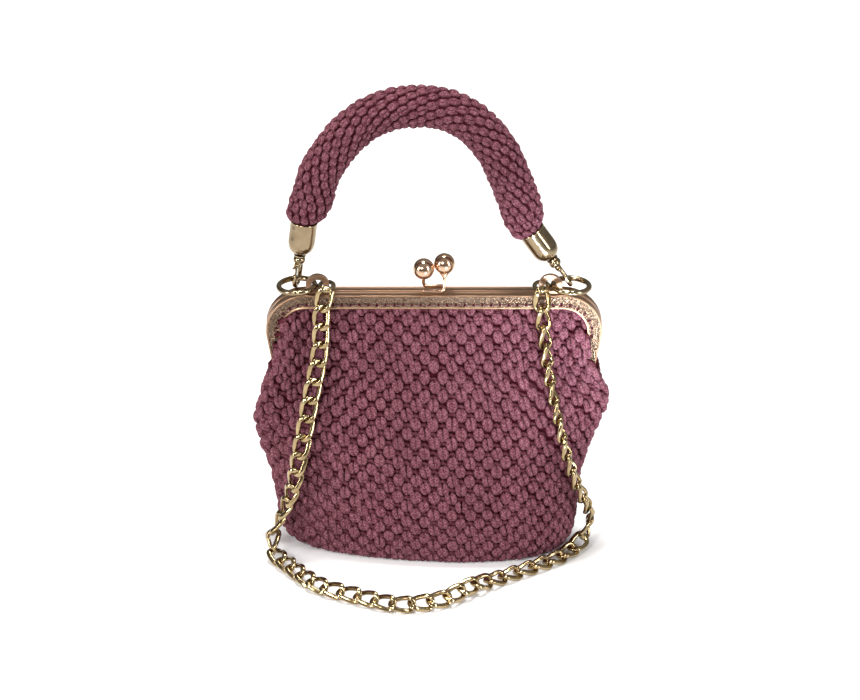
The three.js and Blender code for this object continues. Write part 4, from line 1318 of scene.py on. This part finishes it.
def hinge_tab(build, end, side, x):
    """The tongue at a leg's end that takes the rivet."""
    arc = np.linspace(math.radians(90), math.radians(-166), 30)
    round_end = np.stack([TAB_RADIUS * np.cos(arc), HINGE_Z + TAB_RADIUS * np.sin(arc)], 1)
    tongue = np.vstack([(-6.5, 116.5), (0, 116.5), round_end, (-6.5, 108.5)]) * (-side, 1)
    matrix = np.eye(4)
    matrix[:3, :3] = np.array([(0, 0, 1), (1, 0, 0), (0, 1, 0)])
    matrix[0, 3] = end * x
    outline = tongue if side < 0 else tongue[::-1]
    plate(build, outline, matrix, TAB_THICKNESS, 0.2, slot=SMOOTH)


class BAG_OT_frame(bpy.types.Operator):
    """Makes the kiss-lock frame's two halves with their sewing holes, thread, lugs and rivets"""

    bl_idname = "bag.kiss_lock_frame"
    bl_label = "Kiss-lock frame"

    def execute(self, context):
        look = context.scene.bag_metal
        path = FramePath()
        grained = embossed_material("frame_grained_gold", look.frame_colour, look.frame_groove_shade_colour, 0.12)
        smooth = plated_material("frame_smooth_gold", look.edge_colour, look.edge_tint, 0.28)
        satin = plated_material("lug_satin_gold", look.frame_colour, look.edge_tint, 0.42)
        finishes_and_shade = [grained, smooth, satin, painted_shade_cord(context.scene.bag_crochet)]
        tab_x = leg_half_width(LEG_END_Z, ROOF / 2)
        for name, side, x in (("front", -1, tab_x), ("back", 1, tab_x - TAB_STEP)):
            build = Build()
            frame_channel(build, path, side)
            for end in (-1, 1):
                hinge_tab(build, end, side, x)
                if side < 0:
                    lug(build, end)
            build.piece(
                f"frame_{name}_half", finishes_and_shade, "bag", [f"frame_{name}"], "frame_gold", weld=True, sharp=40
            )
            self.sewing(context, path, side, name)
        outside, inside = tab_x + RIVET_SEAT, tab_x - TAB_STEP - RIVET_SEAT
        rivet = [
            *[(r, outside + h) for r, h in RIVET_HEAD], (RIVET_RADIUS, outside), (RIVET_RADIUS, inside),
            *[(r, inside - h) for r, h in RIVET_HEAD[::-1]],
        ]
        for side, end in (("left", -1), ("right", 1)):
            build = Build()
            turned(build, rivet, basis((0, 0, HINGE_Z), (end, 0, 0), (0, 0, 1)), 24)
            build.piece(
                f"rivet_{side}", [smooth], "bag", [f"hinge_rivet_{side}"], "frame_gold", weld=True, sharp=50
            )
        return {"FINISHED"}

    def sewing(self, context, path, side, name):
        """Thread in and out of the holes along the frame's face."""
        look = context.scene.bag_crochet
        thread = cord_material(
            "sewing_thread", look.thread_colour, look.thread_colour, look.hollow_shade_colour, THREAD_PLAIT
        )
        middles = (np.arange(path.cells) + 0.5) * path.pitch
        share = np.linspace(0, 1, 11)
        t = middles[:-1, None] + path.pitch * np.interp(share, (0, 1), THREAD_REACH)
        depth = FACE_Y + read_off(THREAD_ARCH, share)
        centres = path.point(t, np.full(t.shape, HOLE_INSET), np.broadcast_to(side * depth, t.shape))
        build = Build()
        ups = np.broadcast_to((0.0, side, 0.0), centres.shape)
        tubes(build, centres, np.full(t.shape, THREAD_RADIUS), ups, 6)
        build.piece(f"sewing_thread_{name}", [thread], "bag", slot="crochet")


class BAG_OT_clasp(bpy.types.Operator):
    """Makes the two ball knobs that snap past each other"""

    bl_idname = "bag.clasp_knobs"
    bl_label = "Clasp knobs"

    def execute(self, context):
        look = context.scene.bag_metal
        gold = plated_material("knob_rose_gold", look.knob_colour, look.knob_tint, 0.1)
        for name, side in (("front", -1), ("back", 1)):
            x, y, foot = -side * KNOB_X, side * ROOF_Y, FRAME_TOP + KNOB_LIFT + KNOB_STEM
            ball = np.array((x, -side * KNOB_Y, FRAME_TOP + KNOB_HEIGHTS[name]))
            stem = spline([
                (-x, y, foot), (0, y, foot), (0.8 * x, y, foot), (x, 0.95 * y, foot + 2.2),
                (x, 0.4 * y, foot + 6), (x, ball[1], ball[2] - 4),
            ])
            build = Build()
            tube(build, stem, KNOB_STEM, 16, (0, 1, 0.02), steps=60)
            upright = basis(ball, unit(ball - stem[int(len(stem) * 0.84)]), (1, 0, 0))
            angle = np.linspace(-0.5 * math.pi, 0.5 * math.pi, 33)
            turned(build, KNOB_RADIUS * np.stack([np.cos(angle), np.sin(angle)], 1), upright, 56)
            turned(build, rounded(KNOB_COLLAR, 0.25), upright, 32)
            build.piece(
                f"knob_{name}", [gold], "bag", [f"clasp_knob_{name}"], "knob_gold", weld=True, sharp=50
            )
        return {"FINISHED"}


# Fittings at the handle's ends

def hook_matrices(side):
    """Placings of the hook's post and of the hook turned about it."""
    hook = HOOKS[side]
    post = Matrix.Translation(hook["bar"]) @ Matrix.Rotation(math.radians(hook["lean"]), 4, "Y")
    return post, post @ Matrix.Rotation(math.radians(hook["turn"]), 4, "Z")


def crosswise(place):
    """A placing with its axis across the hook, as its pin lies."""
    return Matrix.Translation(place) @ Matrix.Rotation(math.radians(90), 4, "X")


def pointing(matrix, direction):
    return np.array(matrix.to_3x3() @ Vector(direction))


class BAG_OT_fittings(bpy.types.Operator):
    """Makes the rings, swivel hooks, sprung gates and end caps"""

    bl_idname = "bag.fittings"
    bl_label = "Rings, hooks and caps"

    def execute(self, context):
        look = context.scene.bag_metal
        gold = plated_material("fitting_pale_gold", look.fitting_colour, look.fitting_tint, 0.12)
        dark = plated_material("screw_dark_metal", look.screw_colour, look.screw_colour, 0.4)
        for side, end in (("left", -1), ("right", 1)):
            post, turn = hook_matrices(side)
            self.ring(side, end, gold)
            self.cap(side, end, post @ Matrix.Translation((0, 0, CAP_SEAT)), gold, dark)
            self.hook(side, turn, gold)
            self.gate(side, turn, gold)
        return {"FINISHED"}

    def ring(self, side, end, gold):
        """A wire ring with the seam where its ends meet at the front."""
        turn = Matrix.Rotation(math.radians(RING_TILT * end), 4, "Y")
        tilt = Matrix.Translation((end * LUG_X, -ROOF_Y, LUG_HOLE_Z)) @ turn
        angle = 2 * math.pi * np.arange(RING_STEPS) / RING_STEPS
        angle = angle + RING_GATHER * np.sin(angle + math.pi / 2)
        x, y = end * RING_OFFSET + RING_RADIUS * np.cos(angle), RING_RADIUS * np.sin(angle)
        path = np.stack([x, y, np.zeros(RING_STEPS)], 1)
        seam = np.abs((angle + math.pi / 2 + math.pi) % (2 * math.pi) - math.pi)
        radius = RING_WIRE - RING_SEAM[0] * np.exp(-(seam / RING_SEAM[1]) ** 2)
        build = Build()
        tube(build, moved(path, tilt), radius, 16, pointing(tilt, (0, 0, 1)), closed=True)
        build.piece(f"o_ring_{side}", [gold], "bag", [f"ring_{side}"], "fitting_gold")

    def cap(self, side, end, matrix, gold, dark):
        """A bell with a rolled rim, hollow for the handle's end, and two set screws on its outer side."""
        build = Build()
        turned(build, rounded(CAP_SECTION, 0.3), matrix, 64)
        outward = Matrix.Rotation(math.radians(-90 + end * SCREW_TURN), 4, "Z")
        facing = outward @ Matrix.Rotation(math.radians(90), 4, "Y")
        for height in SCREW_HEIGHTS:
            screw = matrix @ Matrix.Translation((0, 0, height)) @ facing
            turned(build, SCREW_SECTION, screw, 20, slot=1)
        build.piece(
            f"end_cap_{side}", [gold, dark], "bag", [f"cap_{side}"], "fitting_gold", weld=True, sharp=50
        )

    def hook(self, side, matrix, gold):
        """Wire hook, ball, collared post and the ears that hold the gate's pin."""
        angle = -math.pi * np.arange(13) / 12
        x, z = HOOK_RADIUS * np.cos(angle), HOOK_BEND_Z + HOOK_RADIUS * np.sin(angle)
        wire = spline([*HOOK_NECK, *np.stack([x, np.zeros(13), z], 1), HOOK_NOSE])
        build = Build()
        tube(build, moved(wire, matrix), HOOK_WIRE, 16, pointing(matrix, (0, 1, 0)), steps=64)
        angle = np.linspace(0, math.pi, 21)
        ball = np.stack([HOOK_BALL[0] * np.sin(angle), HOOK_BALL_Z - HOOK_BALL[1] * np.cos(angle)], 1)
        turned(build, ball, matrix, 32)
        turned(build, rounded(HOOK_POST, 0.25), matrix, 32)
        for face in (-1, 1):
            flat = matrix @ crosswise(EAR_PLACE * np.array((1, face, 1)))
            plate(build, EAR_OUTLINE, flat, EAR_THICKNESS, 0.18)
        turned(build, rounded(PIN_SECTION, 0.15), matrix @ crosswise(AXLE_PLACE), 16)
        build.piece(
            f"swivel_hook_{side}", [gold], f"{side}_hook", [f"hook_{side}"], "fitting_gold",
            weld=True, sharp=50,
        )

    def gate(self, side, matrix, gold):
        """The sprung bar that closes the hook, with its thumb lever."""
        build = Build()
        bar = moved(np.linspace(*GATE_BAR, len(GATE_RADII)), matrix)
        ups = np.broadcast_to(pointing(matrix, (0, 1, 0)), bar[None].shape)
        tubes(build, bar[None], np.array(GATE_RADII)[None], ups, 14, flat=0.66)
        turned(build, rounded(GATE_EYE, 0.15), matrix @ crosswise(AXLE_PLACE), 28)
        lever = even(spline(moved(LEVER_PATH, matrix)), 14)
        radii = read_off(LEVER_RADII, np.linspace(0, 1, len(lever)))
        ups = np.broadcast_to(pointing(matrix, (0, 0, 1)), lever[None].shape)
        tubes(build, lever[None], radii[None], ups, 14, flat=0.62)
        build.piece(f"sprung_gate_{side}", [gold], f"{side}_gate", [f"gate_{side}"], "fitting_gold", sharp=50)


class BAG_OT_chain(bpy.types.Operator):
    """Links the curb chain along its route"""

    bl_idname = "bag.curb_chain"
    bl_label = "Curb chain"

    def execute(self, context):
        look = context.scene.bag_metal
        gold = plated_material("curb_chain_gold", look.chain_colour, look.chain_tint, 0.13)
        route = spline(CHAIN_ROUTE, 40)
        length = lengths_along(route)[-1]
        count = int(round(length / LINK_PITCH)) + 1
        links = even(route, count)
        fine = even(route, 20 * count)
        chosen = np.linspace(0, len(fine) - 1, count).round().astype(int)
        along = unit(np.gradient(fine[:, :3], axis=0))[chosen]
        across = unit(np.cross(links[:, 3:], along))
        up = np.cross(along, across)
        angle = 2 * math.pi * np.arange(48) / 48
        cos, sin = np.cos(angle), np.sin(angle)
        half_length = (LINK_PITCH + 2 * LINK_WIRE - LINK_OVERLAP) / 2
        half_width = LINK_WIDTH / 2 - LINK_WIRE
        x = half_length * np.sign(cos) * np.abs(cos) ** LINK_SQUARENESS
        y = half_width * np.sign(sin) * np.abs(sin) ** LINK_SQUARENESS
        twist = np.full((count, 1), LINK_TWIST)
        twist[[0, -1]] = 0
        z = twist * np.sin(2 * angle)
        flat = x[:, None] * along[:, None] + y[:, None] * across[:, None]
        centres = links[:, None, :3] + flat + z[..., None] * up[:, None]
        centres[..., 2] = np.maximum(centres[..., 2], LINK_LOWEST)
        tangent = unit(np.roll(centres, -1, 1) - np.roll(centres, 1, 1))
        facet = up[:, None] + LINK_FACET * sin[:, None] * across[:, None]
        ups = unit(facet - tangent * np.sum(facet * tangent, -1, keepdims=True))
        wire, flatness, square = LINK_SECTION
        radii = np.full(centres.shape[:2], wire)
        build = Build()
        tubes(build, centres, radii, ups, 16, closed=True, flat=flatness, square=square)
        build.piece("curb_chain", [gold], "bag", ["chain"], "chain_gold")
        return {"FINISHED"}


# Studio

class BAG_OT_studio(bpy.types.Operator):
    """Sets the pale floor, the soft lights and the camera at the photograph's angle"""

    bl_idname = "bag.studio"
    bl_label = "Studio"

    def execute(self, context):
        look = context.scene.bag_studio
        self.floor(context, look)
        self.world(context, look)
        for name, place, aim, size, power, spread, tint in LIGHTS:
            light = bpy.data.lights.new(name, "AREA")
            light.shape = "RECTANGLE"
            light.size, light.size_y = size
            light.energy = power * look.light_power
            light.spread = math.radians(spread)
            light.color = tint
            lamp = bpy.data.objects.new(name, light)
            lamp.location = place
            lamp.rotation_euler = (Vector(aim) - Vector(place)).to_track_quat("-Z", "Y").to_euler()
            lamp.visible_camera = False
            context.scene.collection.objects.link(lamp)
        self.camera(context, look)
        context.scene.view_settings.view_transform = "Standard"
        return {"FINISHED"}

    def floor(self, context, look):
        """A wide pale sheet."""
        lines = np.linspace(-FLOOR_REACH, FLOOR_REACH, FLOOR_LINES)
        x, y = np.meshgrid(lines, lines)
        points = np.stack([x, y, np.zeros_like(x)], -1) / MM
        faces, _ = grid_faces(FLOOR_LINES, FLOOR_LINES, wrap_columns=False)
        pale = floor_material("pale_floor", look.floor_colour)
        mesh = Build().add(points, faces[:, ::-1]).mesh("studio_floor", [pale])
        sheet = bpy.data.objects.new("studio_floor", mesh)
        context.scene.collection.objects.link(sheet)

    def world(self, context, look):
        """An even surround, brighter from above and from the right."""
        world = bpy.data.worlds.new("studio_surround")
        context.scene.world = world
        world.use_nodes = True
        tree = world.node_tree
        tree.nodes.clear()
        direction = node(tree, "ShaderNodeTexCoord").outputs["Generated"]
        parts = node(tree, "ShaderNodeSeparateXYZ", {0: direction}).outputs
        lean = math_node(tree, "ADD", parts["Z"], math_node(tree, "MULTIPLY", parts["X"], SURROUND_LEAN))
        ramp = stretched(tree, lean, -0.2, 0.95, 0.25, 1.0)
        background = node(tree, "ShaderNodeBackground", {"Color": (*look.surround_colour, 1)})
        strength = math_node(tree, "MULTIPLY", ramp, look.surround_light)
        tree.links.new(strength, background.inputs["Strength"])
        output = node(tree, "ShaderNodeOutputWorld")
        tree.links.new(background.outputs[0], output.inputs["Surface"])

    def camera(self, context, look):
        """A long lens at the photograph's height, aimed so that the frame's top lies in its place there."""
        data = bpy.data.cameras.new("camera")
        camera = bpy.data.objects.new("camera", data)
        context.scene.collection.objects.link(camera)
        data.sensor_width = SENSOR_WIDTH
        data.lens = SENSOR_WIDTH * look.camera_distance / (PHOTO_WIDTH / PHOTO_SCALE * MM)
        back = Vector((0, -math.cos(CAMERA_ELEVATION), math.sin(CAMERA_ELEVATION)))
        up = Vector((0, math.sin(CAMERA_ELEVATION), math.cos(CAMERA_ELEVATION)))
        right = (PHOTO_ANCHOR[0] - PHOTO_WIDTH / 2) / PHOTO_SCALE * MM
        above = (PHOTO_HEIGHT / 2 - PHOTO_ANCHOR[1]) / PHOTO_SCALE * MM
        aim = Vector((0, 0, FRAME_TOP * MM)) - Vector((1, 0, 0)) * right - up * above
        camera.location = aim + back * look.camera_distance
        camera.rotation_euler = (-back).to_track_quat("-Z", "Y").to_euler()
        context.scene.camera = camera


# Settings, panel and registration

def colour_setting(name, description, default):
    return bpy.props.FloatVectorProperty(
        name=name, description=description, subtype="COLOR", size=3, min=0, max=1, default=default
    )


class CrochetSettings(bpy.types.PropertyGroup):
    cord_colour: colour_setting("Cord", "Darker colour in the cord's plait", (0.082, 0.0155, 0.0268))
    fleck_colour: colour_setting("Flecks", "Lighter colour in the cord's plait", (0.232, 0.096, 0.12))
    thread_colour: colour_setting("Thread", "Colour of the sewing thread", (0.17, 0.08, 0.075))
    # Painted shade: the colour that low cord and the inner layer take between the stitches
    hollow_shade_colour: colour_setting("Hollows", "Colour of the cord between the stitches", (0.05, 0.0024, 0.008))


class MetalSettings(bpy.types.PropertyGroup):
    frame_colour: colour_setting("Frame face", "Champagne plating of faces and lugs", (0.182, 0.124, 0.089))
    # Painted shade down in the grain's low places
    frame_groove_shade_colour: colour_setting("Frame grain", "Colour down in the grain", (0.074, 0.042, 0.025))
    edge_colour: colour_setting("Frame edge", "Rose plating of the roof and rivets", (0.45, 0.272, 0.17))
    edge_tint: colour_setting("Frame edge tint", "Slow tint of the smooth plating", (0.37, 0.217, 0.132))
    knob_colour: colour_setting("Knobs", "Rose plating of the ball knobs", (0.68, 0.475, 0.335))
    knob_tint: colour_setting("Knob tint", "Slow tint of the knobs", (0.56, 0.35, 0.225))
    fitting_colour: colour_setting("Fittings", "Pale plating of rings, hooks and caps", (0.335, 0.26, 0.162))
    fitting_tint: colour_setting("Fitting tint", "Slow tint of the fittings", (0.25, 0.18, 0.105))
    chain_colour: colour_setting("Chain", "Plating of the chain", (0.42, 0.32, 0.175))
    chain_tint: colour_setting("Chain tint", "Slow tint of the chain", (0.24, 0.17, 0.085))
    screw_colour: colour_setting("Set screws", "Dark metal of the caps' screws", (0.08, 0.06, 0.045))


class StudioSettings(bpy.types.PropertyGroup):
    floor_colour: colour_setting("Floor", "Colour of the pale floor", (0.93, 0.93, 0.93))
    surround_colour: colour_setting("Surround", "Colour of the light all round", (1.0, 0.99, 0.97))
    surround_light: bpy.props.FloatProperty(
        name="Surround light", description="Strength of the light all round", default=0.4
    )
    light_power: bpy.props.FloatProperty(
        name="Lights", description="Power of the soft lights together", default=1.0
    )
    camera_distance: bpy.props.FloatProperty(
        name="Camera distance", description="Distance from the camera to the bag", unit="LENGTH", default=8.0
    )


SETTINGS = {"bag_crochet": CrochetSettings, "bag_metal": MetalSettings, "bag_studio": StudioSettings}
STEPS = (
    BAG_OT_body, BAG_OT_handle, BAG_OT_frame, BAG_OT_clasp, BAG_OT_fittings, BAG_OT_chain, BAG_OT_studio
)


class BAG_PT_sidebar(bpy.types.Panel):
    bl_label = "Crochet evening bag"
    bl_idname = "BAG_PT_sidebar"
    bl_space_type = "VIEW_3D"
    bl_region_type = "UI"
    bl_category = "Bag"

    def draw(self, context):
        for step in STEPS:
            self.layout.operator(step.bl_idname)
        for name in SETTINGS:
            settings = getattr(context.scene, name)
            box = self.layout.box()
            for key in settings.bl_rna.properties.keys():
                if key not in ("rna_type", "name"):
                    box.prop(settings, key)


def register():
    for cls in (*SETTINGS.values(), *STEPS, BAG_PT_sidebar):
        bpy.utils.register_class(cls)
    for name, cls in SETTINGS.items():
        setattr(bpy.types.Scene, name, bpy.props.PointerProperty(type=cls))


def unregister():
    for name in SETTINGS:
        delattr(bpy.types.Scene, name)
    for cls in (BAG_PT_sidebar, *STEPS, *SETTINGS.values()):
        bpy.utils.unregister_class(cls)


def main():
    register()
    bpy.ops.bag.crochet_body()
    bpy.ops.bag.crochet_handle()
    bpy.ops.bag.kiss_lock_frame()
    bpy.ops.bag.clasp_knobs()
    bpy.ops.bag.fittings()
    bpy.ops.bag.curb_chain()
    bpy.ops.bag.studio()


if __name__ == "__main__":
    main()
